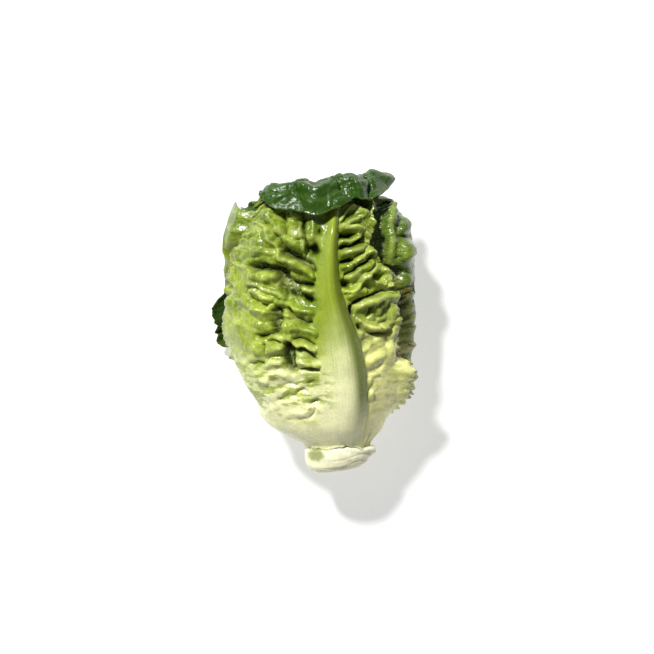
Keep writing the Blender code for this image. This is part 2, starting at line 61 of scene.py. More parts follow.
# The growth of the head, as in the part's source.
LEAF_COUNT = 16
GOLDEN_ANGLE = math.radians(137.5)
FRONT_AZIMUTH = math.radians(8.0)
FOOT_LOWEST, FOOT_STEP = -0.0615, 0.0036
TIP_HIGHEST, TIP_DROP = 0.0660, 0.0410
FRONT_LAYER, OUTER_LAYER, INNER_LAYER = 0.0105, 0.0053, 0.0027
COVER_START, COVER_END = 0.004, 0.017
SOLID_BLADE = 0.0009  # the blade's thickness in the solids
BLADE = 0.0006  # its thickness here
CLEARANCE = 0.0003
VEINS = 13
RIB_COLUMN = 0.2
FULL_SPREAD = math.radians(104)
FLARE_AT = (0.003, 0.018)
FOLD_RADIUS, FOLD_TURN = 0.0040, math.radians(150)
FLAP_FROM, FLAP_STANDS_OUT = 0.060, 0.008  # where the flap's x is read, and how far off the head
# The flap's upper outline, and how long the leaf is beyond its fold line, both against x.
FLAP_TOP = ((-0.0290, 0.0580), (-0.0270, 0.0596), (-0.0206, 0.0634), (-0.0084, 0.0668), (-0.0017, 0.0654),
            (0.0050, 0.0686), (0.0128, 0.0698), (0.0182, 0.0672), (0.0250, 0.0708), (0.0339, 0.0728),
            (0.0385, 0.0722), (0.0432, 0.0702))
FLAP_LENGTH = ((-0.0290, 0.0010), (-0.0265, 0.0040), (-0.0235, 0.0130), (-0.0170, 0.0225), (-0.0060, 0.0265),
               (0.0050, 0.0255), (0.0130, 0.0215), (0.0180, 0.0190), (0.0260, 0.0212), (0.0330, 0.0190),
               (0.0390, 0.0130), (0.0432, 0.0050))
PRESS_GAP = 0.00035  # between a leaf and the one over it
SHOULDER = -0.0640  # where the stem is widest
DEEP = -6.5  # folds from this depth on, in millimetres, are painted darker at their bottom, as shade
VEIN_LIKE = 1.5  # crests up to this half-width, in millimetres, are pale like a vein


def ease(low: float, high: float, x: Array) -> Array:
    """An eased climb from 0 at low to 1 at high.

    Args:
        low: where the climb starts.
        high: where it ends.
        x: the values to ease.

    Returns:
        Values from 0 to 1.
    """
    t = np.clip((x - low) / (high - low), 0.0, 1.0)
    return t * t * (3.0 - 2.0 * t)


def curve(x: Array, knots: Knots) -> Array:
    """A smooth line through knots that never overshoots them.

    Args:
        x: where to read the line.
        knots: its (x, value) pairs, in order.

    Returns:
        The line's values at x.
    """
    xs = np.array([k[0] for k in knots], float)
    ys = np.array([k[1] for k in knots], float)
    h = np.diff(xs)
    slope = np.diff(ys) / h
    tangent = np.zeros(len(xs))
    tangent[0], tangent[-1] = slope[0], slope[-1]
    for k in range(1, len(xs) - 1):
        if slope[k - 1] * slope[k] > 0.0:
            tangent[k] = 2.0 * slope[k - 1] * slope[k] / (slope[k - 1] + slope[k])
    x = np.clip(x, xs[0], xs[-1])
    i = np.clip(np.searchsorted(xs, x, side="right") - 1, 0, len(h) - 1)
    t = (x - xs[i]) / h[i]
    return (
        ys[i] * (1 + 2 * t) * (1 - t) ** 2
        + tangent[i] * h[i] * t * (1 - t) ** 2
        + ys[i + 1] * t * t * (3 - 2 * t)
        + tangent[i + 1] * h[i] * t * t * (t - 1)
    )


TABLE_SIDE = 64


def noise(a: Array, b: Array, seed: int) -> Array:
    """Smooth noise over two coordinates, with one hill or dip for each unit.

    Args:
        a: the first coordinate.
        b: the second coordinate.
        seed: picks the pattern.

    Returns:
        Values from -1 to 1.
    """
    table = np.random.default_rng(seed).uniform(-1.0, 1.0, (TABLE_SIDE, TABLE_SIDE))
    ia, ib = np.floor(a).astype(int), np.floor(b).astype(int)
    fa, fb = a - ia, b - ib
    fa, fb = fa * fa * (3 - 2 * fa), fb * fb * (3 - 2 * fb)

    def at(da: int, db: int) -> Array:
        """The table's value at a corner of each place's square."""
        return table[(ia + da) % TABLE_SIDE, (ib + db) % TABLE_SIDE]

    low = at(0, 0) * (1 - fa) + at(1, 0) * fa
    high = at(0, 1) * (1 - fa) + at(1, 1) * fa
    return low * (1 - fb) + high * fb


def layered_noise(a: Array, b: Array, seed: int, layers: int = 3) -> Array:
    """Noise with finer and weaker noise added to it.

    Args:
        a: the first coordinate.
        b: the second coordinate.
        seed: picks the pattern.
        layers: how many sizes of noise are added.

    Returns:
        Values from about -1 to 1.
    """
    total = np.zeros(np.broadcast(a, b).shape)
    for k in range(layers):
        total = total + noise(a * 2**k + 13.7 * k, b * 2**k + 5.3 * k, seed + 31 * k) * 0.55**k
    return total / 1.4


def cells(a: Array, b: Array, seed: int) -> tuple[Array, Array]:
    """Cells of uneven shape, about one for each unit square.

    Args:
        a: the first coordinate.
        b: the second coordinate.
        seed: picks the pattern.

    Returns:
        How far each place is from its cell's border, from 0, and its cell's own value from -1 to 1.
    """
    draw = np.random.default_rng(seed)
    spots = draw.uniform(0.10, 0.90, (TABLE_SIDE, TABLE_SIDE, 2))
    worth = draw.uniform(-1.0, 1.0, (TABLE_SIDE, TABLE_SIDE))
    ia, ib = np.floor(a).astype(int), np.floor(b).astype(int)
    nearest = np.full(ia.shape, 9.0)
    second = np.full(ia.shape, 9.0)
    own = np.zeros(ia.shape)
    for da, db in np.ndindex(3, 3):
        ca, cb = ia + da - 1, ib + db - 1
        spot = spots[ca % TABLE_SIDE, cb % TABLE_SIDE]
        away = np.hypot(ca + spot[..., 0] - a, cb + spot[..., 1] - b)
        closer = away < nearest
        second = np.where(closer, nearest, np.minimum(second, away))
        own = np.where(closer, worth[ca % TABLE_SIDE, cb % TABLE_SIDE], own)
        nearest = np.where(closer, away, nearest)
    return second - nearest, own


def spread(values: Array, reach: int, highest: bool) -> Array:
    """Carries a grid's values to their neighbours, along both of its ways.

    Args:
        values: the grid.
        reach: how many places far.
        highest: True for the highest neighbour, False for their mean.

    Returns:
        The new grid.
    """
    for axis in (0, 1):
        pads = [(reach, reach) if k == axis else (0, 0) for k in (0, 1)]
        wide = np.pad(values, pads, mode="edge")
        places = np.arange(values.shape[axis])
        shifted = [np.take(wide, places + k, axis=axis) for k in range(2 * reach + 1)]
        values = np.max(shifted, axis=0) if highest else np.mean(shifted, axis=0)
    return values


@dataclass(frozen=True)
class HeadForm:
    """The head's envelope and its axis, as in the part's source."""

    axis_height: float = 0.0374
    depth_share: float = 0.86
    offset_x: float = -0.0026
    axis: Knots = ((-0.074, 0.0128), (-0.065, 0.0138), (-0.058, 0.0102), (-0.050, 0.0070), (-0.040, 0.0066),
                   (-0.020, 0.0052), (0.0, 0.0032), (0.030, 0.0026), (0.045, 0.0020), (0.060, 0.0006),
                   (0.080, 0.0))
    mean_radius: Knots = ((-0.068, 0.0158), (-0.064, 0.0186), (-0.060, 0.0218), (-0.055, 0.0260),
                          (-0.050, 0.0302), (-0.040, 0.0366), (-0.030, 0.0410), (-0.020, 0.0440),
                          (-0.005, 0.0460), (0.020, 0.0466), (0.040, 0.0464), (0.050, 0.0434), (0.060, 0.0384),
                          (0.070, 0.0315), (0.085, 0.0200))
    stem: Knots = ((-0.0752, 0.0), (-0.0754, 0.0062), (-0.0748, 0.0112), (-0.0728, 0.0142), (-0.0690, 0.0162),
                   (-0.0650, 0.0170), (-0.0630, 0.0162), (-0.0623, 0.0146), (-0.0590, 0.0138), (-0.0560, 0.0130),
                   (-0.0520, 0.0120), (-0.0460, 0.0106), (-0.0380, 0.0090), (-0.0250, 0.0066), (-0.0100, 0.0042),
                   (0.0040, 0.0022), (0.0075, 0.0))
    ledge: int = 7

    def radius(self, y: Array) -> Array:
        """The head's mean radius at a distance along it."""
        return curve(y, self.mean_radius)

    def stem_radius(self, y: Array) -> Array:
        """The radius of the stem's cone inside the head."""
        cone = self.stem[self.ledge:]
        return np.interp(y, [k[0] for k in cone], [k[1] for k in cone])

    def centre(self, y: Array) -> Array:
        """The axis's points at a distance along it."""
        x = curve(y, self.axis) + self.offset_x
        return np.stack([x, y + 0.0 * x, self.axis_height + 0.0 * x], -1)

    def place(self, y: Array, angle: Array, radius: Array) -> Array:
        """Points on the head.

        Args:
            y: distance along the head.
            angle: about its axis, from straight up towards +X.
            radius: from its axis.

        Returns:
            The points, with x, y and z last.
        """
        out = np.stack([radius * np.sin(angle), 0.0 * radius, self.depth_share * radius * np.cos(angle)], -1)
        return self.centre(y) + out


HEAD = HeadForm()


@dataclass(frozen=True)
class Fold:
    """One crest or hollow of a leaf, as a stroke seen from above, in millimetres of x and y."""

    start: tuple[float, float]
    end: tuple[float, float]
    half_width: float
    rise: float  # under 0 for a hollow
    bow: float = 0.0  # how far its middle bends to the left of the way from start to end
    lean: float = 0.0  # from -1 to 1: over 0, its left side is the steep one

    def height(self, x: Array, y: Array) -> Array:
        """The fold's height.

        Args:
            x: places across the head, in metres.
            y: places along it.

        Returns:
            Heights in metres.
        """
        begin, way = np.array(self.start), np.subtract(self.end, self.start)
        length = max(float(np.hypot(*way)), 1e-6)
        left = np.array([-way[1], way[0]]) / length
        px, py = 1000.0 * x - begin[0], 1000.0 * y - begin[1]
        t = np.clip((px * way[0] + py * way[1]) / length**2, 0.0, 1.0)
        bend = self.bow * 4.0 * t * (1.0 - t)
        dx, dy = px - way[0] * t - left[0] * bend, py - way[1] * t - left[1] * bend
        across = dx * left[0] + dy * left[1]
        width = self.half_width * (0.65 + 0.35 * np.sqrt(4.0 * t * (1.0 - t)))
        width = width * (1.0 - 0.6 * self.lean * np.tanh(across / self.half_width))
        power = 2.0 if self.rise > 0.0 else 3.0 if self.rise <= DEEP else 1.5
        return 0.001 * self.rise * np.exp(-((np.hypot(dx, dy) / width) ** power))


def folds(*rows: tuple[float, ...]) -> tuple[Fold, ...]:
    """Folds from rows of numbers: start x and y, end x and y, half-width, rise and, if any, bow and lean."""
    return tuple(Fold(row[:2], row[2:4], *row[4:]) for row in rows)


@dataclass(frozen=True)
class Stem:
    """The short stem with its cut butt, turned about the head's axis."""

    rings: int = 150
    sides: int = 128
    cut_slant: float = 0.13  # rise of the cut face for each unit towards +X
    scar_relief: float = 0.0011
    stub: Fold = Fold((24.5, -58.5), (27.0, -66.5), 2.4, 2.6)

    def relief(self, y: Array, angle: Array) -> tuple[Array, Array]:
        """The scars of the old leaves, all round the butt, and the fine lines between them.

        Args:
            y: distance along the head.
            angle: about its axis.

        Returns:
            Their height over the turned stem, and how deep in a line each place is, from 0 to 1.
        """
        butt = ease(-0.0763, -0.0720, y) * (1.0 - ease(-0.0655, -0.0628, y))
        turns = (angle % (2 * math.pi)) * 7 / (2 * math.pi)
        around = np.stack([np.cos(angle), np.sin(angle)])
        scar = self.scar_relief * noise(2.2 * around[0] + 9.0, 2.2 * around[1] + y / 0.006, 91) * butt
        rows = (y + 0.0744) / 0.0042 + 0.45 * noise(1.6 * around[0] + 5.0, 1.6 * around[1] + 5.0, 93)
        line = np.exp(-(((rows % 1.0) - 0.5) / 0.07) ** 2) * (0.35 + 0.65 * (noise(turns, y / 0.004, 98) > -0.1))
        line = line * ease(-0.0748, -0.0735, y) * butt
        return scar - 0.00042 * line, line

    def reach(self, y: Array, angle: Array) -> Array:
        """The stem's radius at a place, scars and all."""
        xs, rs = [k[0] for k in HEAD.stem[2:]], [k[1] for k in HEAD.stem[2:]]
        return np.interp(y, xs, rs) + self.relief(y, angle)[0]

    def build(self, material: bpy.types.Material) -> bpy.types.Object:
        """Makes the stem's object and puts it in its node's place.

        Args:
            material: the stem's finish.

        Returns:
            The object.
        """
        profile = np.array(HEAD.stem)
        steps = np.concatenate([[0.0], np.cumsum(np.hypot(*np.diff(profile, axis=0).T))])
        share = np.linspace(0.0, 1.0, self.rings) ** 1.35
        y = np.interp(share * steps[-1], steps, profile[:, 0])
        r = np.interp(share * steps[-1], steps, profile[:, 1])
        y, angle = np.meshgrid(y, np.linspace(0.0, 2 * math.pi, self.sides, endpoint=False), indexing="ij")
        r = np.broadcast_to(r[:, None], y.shape)
        height, line = self.relief(y, angle)
        around = (3.0 * np.cos(angle) + 9.0, 3.0 * np.sin(angle) + y / 0.0016)
        grain = 0.00016 * layered_noise(*around, 95) * ease(0.004, 0.010, r)
        points = HEAD.place(y, angle, r + height + grain)
        lift = self.stub.height(points[..., 0], points[..., 1]) * (points[..., 2] > HEAD.axis_height)
        points = HEAD.place(y, angle, r + height + grain + lift)
        face = 1.0 - ease(-0.0754, -0.0645, y)
        points[..., 1] += self.cut_slant * (points[..., 0] - 0.0100) * face
        pith = layered_noise(points[..., 0] / 0.0022, points[..., 2] / 0.0022, 97)
        points[..., 1] += 0.00030 * pith * (y < -0.0744)
        count = self.sides
        ring, side = np.meshgrid(np.arange(self.rings - 1), np.arange(count), indexing="ij")
        a, b = (ring * count + side).ravel(), (ring * count + (side + 1) % count).ravel()
        faces = np.stack([a, b, b + count, a + count], -1).tolist()
        piece = make_piece("stem_flesh", points.reshape(-1, 3), faces, material, {
            "stem_face": (y < -0.0746).astype(float).ravel(),
            "stem_stub": (lift / 0.0026).ravel(),
            "stem_scar": line.ravel(),
        })
        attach(piece, "root")
        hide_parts("stem")
        return piece


STEM = Stem()
EVERYWHERE: Knots = ((-0.08, 1.0), (0.09, 1.0))
NOWHERE: Knots = ((-0.08, 0.0), (0.09, 0.0))


@dataclass
class Leaf:
    """One leaf's own sizes. Half-widths are in degrees about the head's axis, against the share of height."""

    index: int
    tip: float
    left: Knots
    right: Knots
    sway: Knots  # degrees that the midrib strays, against y
    rib_width: float  # half the midrib's width at the foot
    rib_height: float
    layer: float  # depth of the layer that the leaf takes
    grid: tuple[int, int]  # rows and columns
    crown: float = 0.15
    point: float = 1.6
    flap: float = 0.0
    flare: float = 0.0
    folds: tuple[Fold, ...] = ()
    relief: float = 1.0  # how strong the panels' pockets and blisters are
    ruffle: Knots = EVERYWHERE  # how strong the margin's ruffles are, against y
    notches: Knots = EVERYWHERE  # how far the right margin reaches, against y
    curl: Knots = NOWHERE  # how far the left margin turns outwards, against y
    bulge: Knots = NOWHERE  # how far the left side stands out, against y
    frill: Knots = NOWHERE  # how strongly the left side's outer part is frilled, against y
    lip: float = 0.0  # how far the foot laps over the stem's shoulder

    @property
    def name(self) -> str:
        """The leaf's node in the frame."""
        return f"leaf_{self.index + 1:02d}"

    @property
    def foot(self) -> float:
        """Where the leaf grows from the stem."""
        return FOOT_LOWEST + FOOT_STEP * self.index

    @property
    def height(self) -> float:
        """From the foot to the tip, with the flap laid out."""
        return self.tip + self.flap - self.foot

    def half_angle(self, side: Array, share: Array) -> Array:
        """The margin's angle from the midrib.

        Args:
            side: -1 for left and 1 for right.
            share: of the leaf's height.

        Returns:
            Angles in radians.
        """
        return np.radians(np.where(side < 0, curve(share, self.left), curve(share, self.right)))

    def row_rise(self, side: Array, v: Array, u: Array) -> Array:
        """How far a row climbs towards the margins.

        Args:
            side: -1 for left and 1 for right.
            v: the row number.
            u: distance from the midrib over the half-width there.

        Returns:
            The climb as a share of the leaf's height.
        """
        spread_share = self.half_angle(side, 0.5) / FULL_SPREAD
        climb = spread_share * curve(v, ((0.0, 0.0), (0.22, 0.15), (0.45, 0.17), (0.75, 0.09), (1.0, 0.0)))
        return climb * np.abs(u) ** 1.25 - self.crown * ease(0.30, 1.0, v) * np.abs(u) ** self.point

    def midrib_angle(self, y: Array) -> Array:
        """The midrib's angle about the head's axis."""
        return FRONT_AZIMUTH + GOLDEN_ANGLE * self.index + np.radians(curve(y, self.sway))

    def cover(self, angle: Array, y: Array) -> Array:
        """How far the leaf lies over places on the head.

        Args:
            angle: the places' angle about the head's axis.
            y: their distance along it.

        Returns:
            1 under the leaf, easing to 0 well beyond its margin.
        """
        share = (y - self.foot) / self.height
        away = (angle - self.midrib_angle(y) + math.pi) % (2 * math.pi) - math.pi
        near_tip = np.clip((1.0 - share) / self.crown, 0.0, 1.0) ** (1.0 / self.point)
        reach = self.half_angle(np.sign(away), share) * np.where(share > 1.0 - self.crown, near_tip, 1.0)
        beyond = (np.abs(away) - reach) * HEAD.radius(y)
        sideways = 1.0 - ease(COVER_START, COVER_END, beyond)
        above = 1.0 - ease(COVER_START, COVER_END, y - self.tip)
        return sideways * above * ease(-0.004, 0.004, y - self.foot)

    def panel_rows(self) -> Array:
        """Row numbers of the side veins, left and right by turns.

        Returns:
            The numbers, from 0 at the foot to 1 at the tip.
        """
        steps = 1.0 + np.random.default_rng(500 + self.index).uniform(-0.22, 0.22, 2 * VEINS)
        steps = steps * curve(np.linspace(0, 1, 2 * VEINS), ((0.0, 0.8), (0.4, 1.15), (1.0, 0.85)))
        return np.concatenate([[0.0], np.cumsum(steps)]) / steps.sum()

    def rib_half(self, v: Array) -> Array:
        """Half the midrib's width along the leaf."""
        return self.rib_width * curve(v, ((0.0, 1.0), (0.22, 1.0), (0.38, 0.80), (0.52, 0.50),
                                          (0.66, 0.34), (0.76, 0.23), (0.88, 0.16), (1.0, 0.08)))

    def rib_ridge(self, side: Array, across: Array, v: Array) -> Array:
        """How far the midrib stands out of the sheet: a soft left flank and a steep right one.

        Args:
            side: -1 for left and 1 for right.
            across: distance from the midrib's middle over its half-width.
            v: the row number.

        Returns:
            Heights in metres.
        """
        height = self.rib_height * curve(v, ((0.0, 0.16), (0.04, 0.30), (0.15, 0.50), (0.35, 0.68), (0.60, 0.55),
                                             (0.80, 0.20), (0.88, 0.05), (1.0, 0.0)))
        steep = np.clip(1.0 - np.clip(across / 1.06, 0, 1) ** 2.2, 0.0, 1.0) ** 0.85
        soft = 1.0 - ease(-0.6, 1.45, across)
        level = 1.0 - ease(-0.6, 1.45, np.zeros_like(across))
        return height * np.where(side < 0, soft / level, steep)


@dataclass(frozen=True)
class ReliefSizes:
    """How high or deep each kind of relief on a blade is, and its length where it repeats, in metres."""

    welt: float = 0.0018  # the blade's rise round a pocket
    pocket: float = 0.0120
    blister: float = 0.0065
    puff: float = 0.0011
    puff_by_hand: float = 0.0019  # more where the listed folds lie
    puff_by_side: float = 0.0003  # more on the right, less on the left
    puff_length: float = 0.0068
    net: float = 0.00040  # the small veins round the puffs
    crumple: float = 0.00022
    crumple_length: float = 0.0031
    swell: float = 0.0026
    swell_length: float = 0.030
    crinkle: float = 0.00010
    crinkle_by_relief: float = 0.00035
    wave: float = 0.0042
    wave_length: float = 0.0085
    ruffle: float = 0.0016
    ruffle_length: float = 0.0031
    frill: float = 0.0042
    frill_foot: float = 0.0016  # how far a frill starts below the blade
    frill_length: float = 0.0068
    free: float = 0.0019  # how far a covered blade may rise
    free_shown: float = 0.0060  # how much more where nothing lies over it


SIZES = ReliefSizes()
# Against the distance from the midrib: how strong the pockets are, and the side veins' width and height.
POCKET_SHARE = ((0.0, 0.0), (0.004, 0.80), (0.012, 1.0), (0.026, 0.70), (0.044, 0.25), (0.090, 0.15))
VEIN_WIDTH = ((0.0, 0.0016), (0.010, 0.0011), (0.030, 0.0007), (0.080, 0.0005))
VEIN_RISE = ((0.0, 0.0008), (0.008, 0.0011), (0.030, 0.0006), (0.080, 0.0003))


class LeafSheet:
    """The fine mesh of one leaf, worked out over its grid."""

    def __init__(self, leaf: Leaf, older: list["LeafSheet"]) -> None:
        """Lays out the leaf's sheet, gives it its relief and presses it under the older leaves.

        Args:
            leaf: the leaf's sizes.
            older: the sheets that were laid before it, oldest first.
        """
        self.leaf = leaf
        self.older = older
        self.seed = 700 + 10 * leaf.index
        self.lay_columns()
        self.lay_sheet()
        lift = self.relief() * self.off_table()
        self.lift = lift
        along, out = self.fold_out(self.beyond)
        points = HEAD.place(self.y_on_head, self.angle, self.radius + out)
        points[..., 1] += along
        self.points = points + self.normals(points) * lift[..., None]
        self.ridge = leaf.rib_ridge(self.side, self.across, self.v)
        for _ in range(2):
            self.press()
        self.tree = self.sheet_tree()

    def lay_columns(self) -> None:
        """Sets the grid's rows and columns, and each place's distance from the midrib."""
        leaf = self.leaf
        rows, columns = leaf.grid
        left_share = np.mean([k[1] for k in leaf.left]) / np.mean([k[1] for k in (*leaf.left, *leaf.right)]) / 2
        left = int(round(columns * left_share))
        bend = 1.12

        def numbers(count: int) -> Array:
            """Column numbers on one side of the midrib.

            Args:
                count: how many columns there are.

            Returns:
                The numbers, from near 0 at the midrib to 1 at the margin.
            """
            rib = max(3, count // 9)
            blade = RIB_COLUMN + (1 - RIB_COLUMN) * (np.arange(1, count - rib + 1) / (count - rib)) ** bend
            return np.concatenate([RIB_COLUMN * np.arange(1, rib + 1) / rib, blade])

        across = np.concatenate([-numbers(left)[::-1], [0.0], numbers(columns - left - 1)])
        # How far the margin reaches, with its jags and notches.
        c, self.v = np.meshgrid(across, np.linspace(0.0, 1.0, rows))
        self.side = np.where(c < 0, -1.0, 1.0)
        reach = leaf.half_angle(self.side, self.v + leaf.row_rise(self.side, self.v, 1.0))
        margin_y = leaf.foot + leaf.height * (self.v + leaf.row_rise(self.side, self.v, 1.0))
        strong = curve(margin_y, leaf.ruffle)
        jag = 0.010 * noise(self.v * 34 + 5.0, 3.0 * self.side, 810 + leaf.index)
        jag = jag + 0.006 * noise(self.v * 90, 7.0 * self.side, 830 + leaf.index)
        self.reach = reach * (1.0 + strong * jag * ease(0.80, 1.0, np.abs(c)))
        self.reach = self.reach * np.where(self.side > 0, curve(margin_y, leaf.notches), 1.0)
        # The first columns lie on the midrib, the others on the blade.
        width = self.reach * np.maximum(HEAD.radius(leaf.foot + leaf.height * self.v), 0.004)
        rib = np.minimum(leaf.rib_half(self.v), 0.8 * width)
        a = np.abs(c)
        beyond_rib = np.maximum(a - RIB_COLUMN, 0.0) / (1 - RIB_COLUMN)
        self.from_mid = np.where(a <= RIB_COLUMN, rib * a / RIB_COLUMN, rib + (width - rib) * beyond_rib)
        self.u = self.side * self.from_mid / width
        self.across = self.from_mid / rib
        self.from_rib = np.maximum(self.from_mid - rib, 0.0)
        self.width = width

    def wander(self) -> Array:
        """How far the side veins stray along the head, so that no two panels are alike.

        Returns:
            Distances in metres.
        """
        leaf, v = self.leaf, self.v
        stray = noise(self.from_mid / 0.017 + 3.0, v * VEINS * 0.9 + self.by_side(5.0, 27.0), 600 + leaf.index)
        free = ease(0.012, 0.030, self.from_mid) * ease(0.05, 0.20, v)
        free = free * (1.0 - ease(0.86, 0.97, v))
        width = np.maximum(self.width, 0.010)
        return 0.0017 * leaf.height / 0.13 * stray * free * (1.0 - 0.7 * np.clip(self.from_mid / width, 0.0, 1.0))

    def lay_sheet(self) -> None:
        """Places the leaf's mean sheet on the head."""
        leaf = self.leaf
        self.y = leaf.foot + leaf.height * (self.v + leaf.row_rise(self.side, self.v, self.u)) + self.wander()
        away = self.u * self.reach
        self.beyond = np.zeros_like(self.y)
        self.y_on_head = self.y
        # Past the fold line the tip turns outwards, by the flap's own outline.
        if leaf.flap:
            turned = leaf.midrib_angle(np.full_like(self.y, FLAP_FROM)) + away
            reach = HEAD.radius(FLAP_FROM) + FLAP_STANDS_OUT
            x = HEAD.centre(np.float64(FLAP_FROM))[0] + reach * np.sin(np.clip(turned, -1.5, 1.5))
            line = curve(x, FLAP_TOP) - FOLD_RADIUS
            end = leaf.foot + leaf.height * (1.0 + leaf.row_rise(self.side, 1.0, self.u)) - line
            over = np.maximum(self.y - line, 0.0)
            self.beyond = over * curve(x, FLAP_LENGTH) / np.maximum(end, 0.004)
            self.y_on_head = self.y - over
        self.angle = leaf.midrib_angle(self.y_on_head) + away
        self.shown = np.ones_like(self.y)
        for sheet in self.older:
            self.shown = self.shown * (1.0 - sheet.leaf.cover(self.angle, self.y_on_head))
        # The margins flare and curl, and the left side bulges.
        at_flare = np.exp(-(((self.y - FLARE_AT[0]) / FLARE_AT[1]) ** 2))
        self.radius = self.sheet_radius() + leaf.flare * ease(0.72, 1.0, self.u) * at_flare
        self.radius = self.radius + curve(self.y, leaf.curl) * ease(0.74, 1.0, -self.u)
        self.radius = self.radius + curve(self.y, leaf.bulge) * ease(0.30, 0.60, -self.u)
        # The foot laps over the stem's shoulder with a ragged lip.
        if leaf.lip:
            over = 1.0 - ease(0.0, 0.055, self.v)
            ragged = 0.0018 * noise(self.angle * 2.6, 0.0 * self.v, 67)
            ragged = ragged + 0.0005 * noise(self.angle * 8.0, self.v, 68)
            self.y_on_head = self.y_on_head - (leaf.lip + ragged) * over
            hugging = STEM.reach(np.minimum(self.y_on_head, SHOULDER), self.angle) + 0.15 * BLADE
            self.radius = np.maximum(self.radius, self.radius + (hugging - self.radius) * over**0.5)

    def sheet_radius(self) -> Array:
        """The mean sheet's radius: off the stem at its foot, then one layer below each older leaf over it.

        Returns:
            Radii in metres.
        """
        leaf, y = self.leaf, self.y_on_head
        foot = HEAD.stem_radius(np.full_like(y, leaf.foot)) + CLEARANCE + 0.7 * SOLID_BLADE
        rise = HEAD.radius(FOOT_LOWEST + np.maximum(y - leaf.foot, 0.0)) - HEAD.radius(FOOT_LOWEST)
        near_stem = foot + rise * (1.0 - 0.047 * leaf.index)
        stacked = HEAD.radius(y)
        for sheet in self.older:
            stacked = stacked - sheet.leaf.layer * sheet.leaf.cover(self.angle, y)
        stacked = np.maximum(stacked, near_stem)
        start, end = (0.0, 0.009) if leaf.index == 0 else (0.002, 0.018 + 0.001 * leaf.index)
        return near_stem + (stacked - near_stem) * ease(leaf.foot + start, leaf.foot + end, y)

    def fold_out(self, beyond: Array) -> tuple[Array, Array]:
        """What the fold at the tip makes of the length beyond it.

        Args:
            beyond: how far past the fold line each place is.

        Returns:
            How far the place goes on along the head, and how far outwards.
        """
        angle = np.clip(beyond / FOLD_RADIUS, 0.0, FOLD_TURN)
        straight = np.maximum(beyond - FOLD_RADIUS * FOLD_TURN, 0.0)
        along = FOLD_RADIUS * np.sin(angle) + straight * math.cos(FOLD_TURN)
        out = FOLD_RADIUS * (1.0 - np.cos(angle)) + straight * math.sin(FOLD_TURN)
        return along, out

    def by_side(self, left: float | Array, right: float | Array) -> Array:
        """One value on the midrib's left and another on its right."""
        return np.where(self.side < 0, left, right)

    def count_panels(self) -> tuple[Array, Array]:
        """Counts the panels between the side veins, from the foot up.

        Returns:
            The count at each place, and how far between its two veins it lies, from 0 to 1.
        """
        plain = np.interp(self.v, self.leaf.panel_rows(), np.arange(2 * VEINS + 1)) / 2.0
        stray = layered_noise(self.from_rib / 0.012 + 4.0, plain * 1.3 + self.by_side(2.0, 44.0), self.seed + 5)
        count = plain + 0.26 * stray * ease(0.003, 0.020, self.from_rib)
        return count, (count + self.by_side(0.0, 0.5)) % 1.0

    def pockets(self, count: Array, between: Array) -> Array:
        """The pockets between the side veins, and the blisters farther out.

        Args:
            count: the panels counted up to each place.
            between: how far between two veins it lies.

        Returns:
            Heights in metres.
        """
        panel = np.sin(math.pi * between)
        cell = noise(self.from_rib / 0.013 + 7.0, count * 2.0 + self.by_side(3.0, 31.0), self.seed)
        pocket = curve(self.from_rib, POCKET_SHARE)
        depth = np.clip(0.80 + 0.85 * cell, 0.10, 1.4)
        height = SIZES.welt * pocket - SIZES.pocket * pocket * panel * depth
        return height + SIZES.blister * ease(0.012, 0.034, self.from_rib) * panel * (cell + 0.10)

    def side_veins(self, between: Array) -> tuple[Array, Array]:
        """The side veins.

        Args:
            between: how far between two veins each place lies.

        Returns:
            How close to a vein's middle each place is, from 0 to 1, and its height in metres.
        """
        gap = np.minimum(between, 1.0 - between) * self.leaf.height / VEINS
        vein = np.exp(-((gap / curve(self.from_rib, VEIN_WIDTH)) ** 2))
        vein = vein * ease(0.0, 0.004, self.from_rib)
        return vein, vein * curve(self.from_rib, VEIN_RISE)

    def puffs(self, count: Array, by_hand: Array) -> tuple[Array, Array]:
        """The puffs inside the panels, the net of small veins round them, and the fine crumple on them.

        Args:
            count: the panels counted up to each place.
            by_hand: 1 where the listed folds lie.

        Returns:
            Heights in metres, and how close to the net each place is, from 0 to 1.
        """
        from_rib, seed = self.from_rib, self.seed
        border, own = cells(from_rib / SIZES.puff_length + 3.0, count * 1.9 + self.by_side(7.0, 40.0), seed + 3)
        dome = np.clip(border / 0.55, 0.0, 1.0) ** 0.6
        clear = ease(0.003, 0.014, from_rib)
        full = 0.35 + 0.65 * ease(-0.034, 0.0, self.y)
        rise = SIZES.puff * own + SIZES.puff_by_hand * by_hand + SIZES.puff_by_side * self.side
        net = (1.0 - ease(0.02, 0.16, border)) * clear
        small = count * 4.1 + self.by_side(9.0, 20.0)
        fine, fine_own = cells(from_rib / SIZES.crumple_length + 3.0, small, seed + 4)
        crumple = fine_own * ease(0.0, 0.4, fine) * clear * (1.0 - 0.45 * by_hand)
        self.fine_net = (1.0 - ease(0.02, 0.18, fine)) * clear
        return rise * dome * clear * full + SIZES.net * net + SIZES.crumple * crumple, net

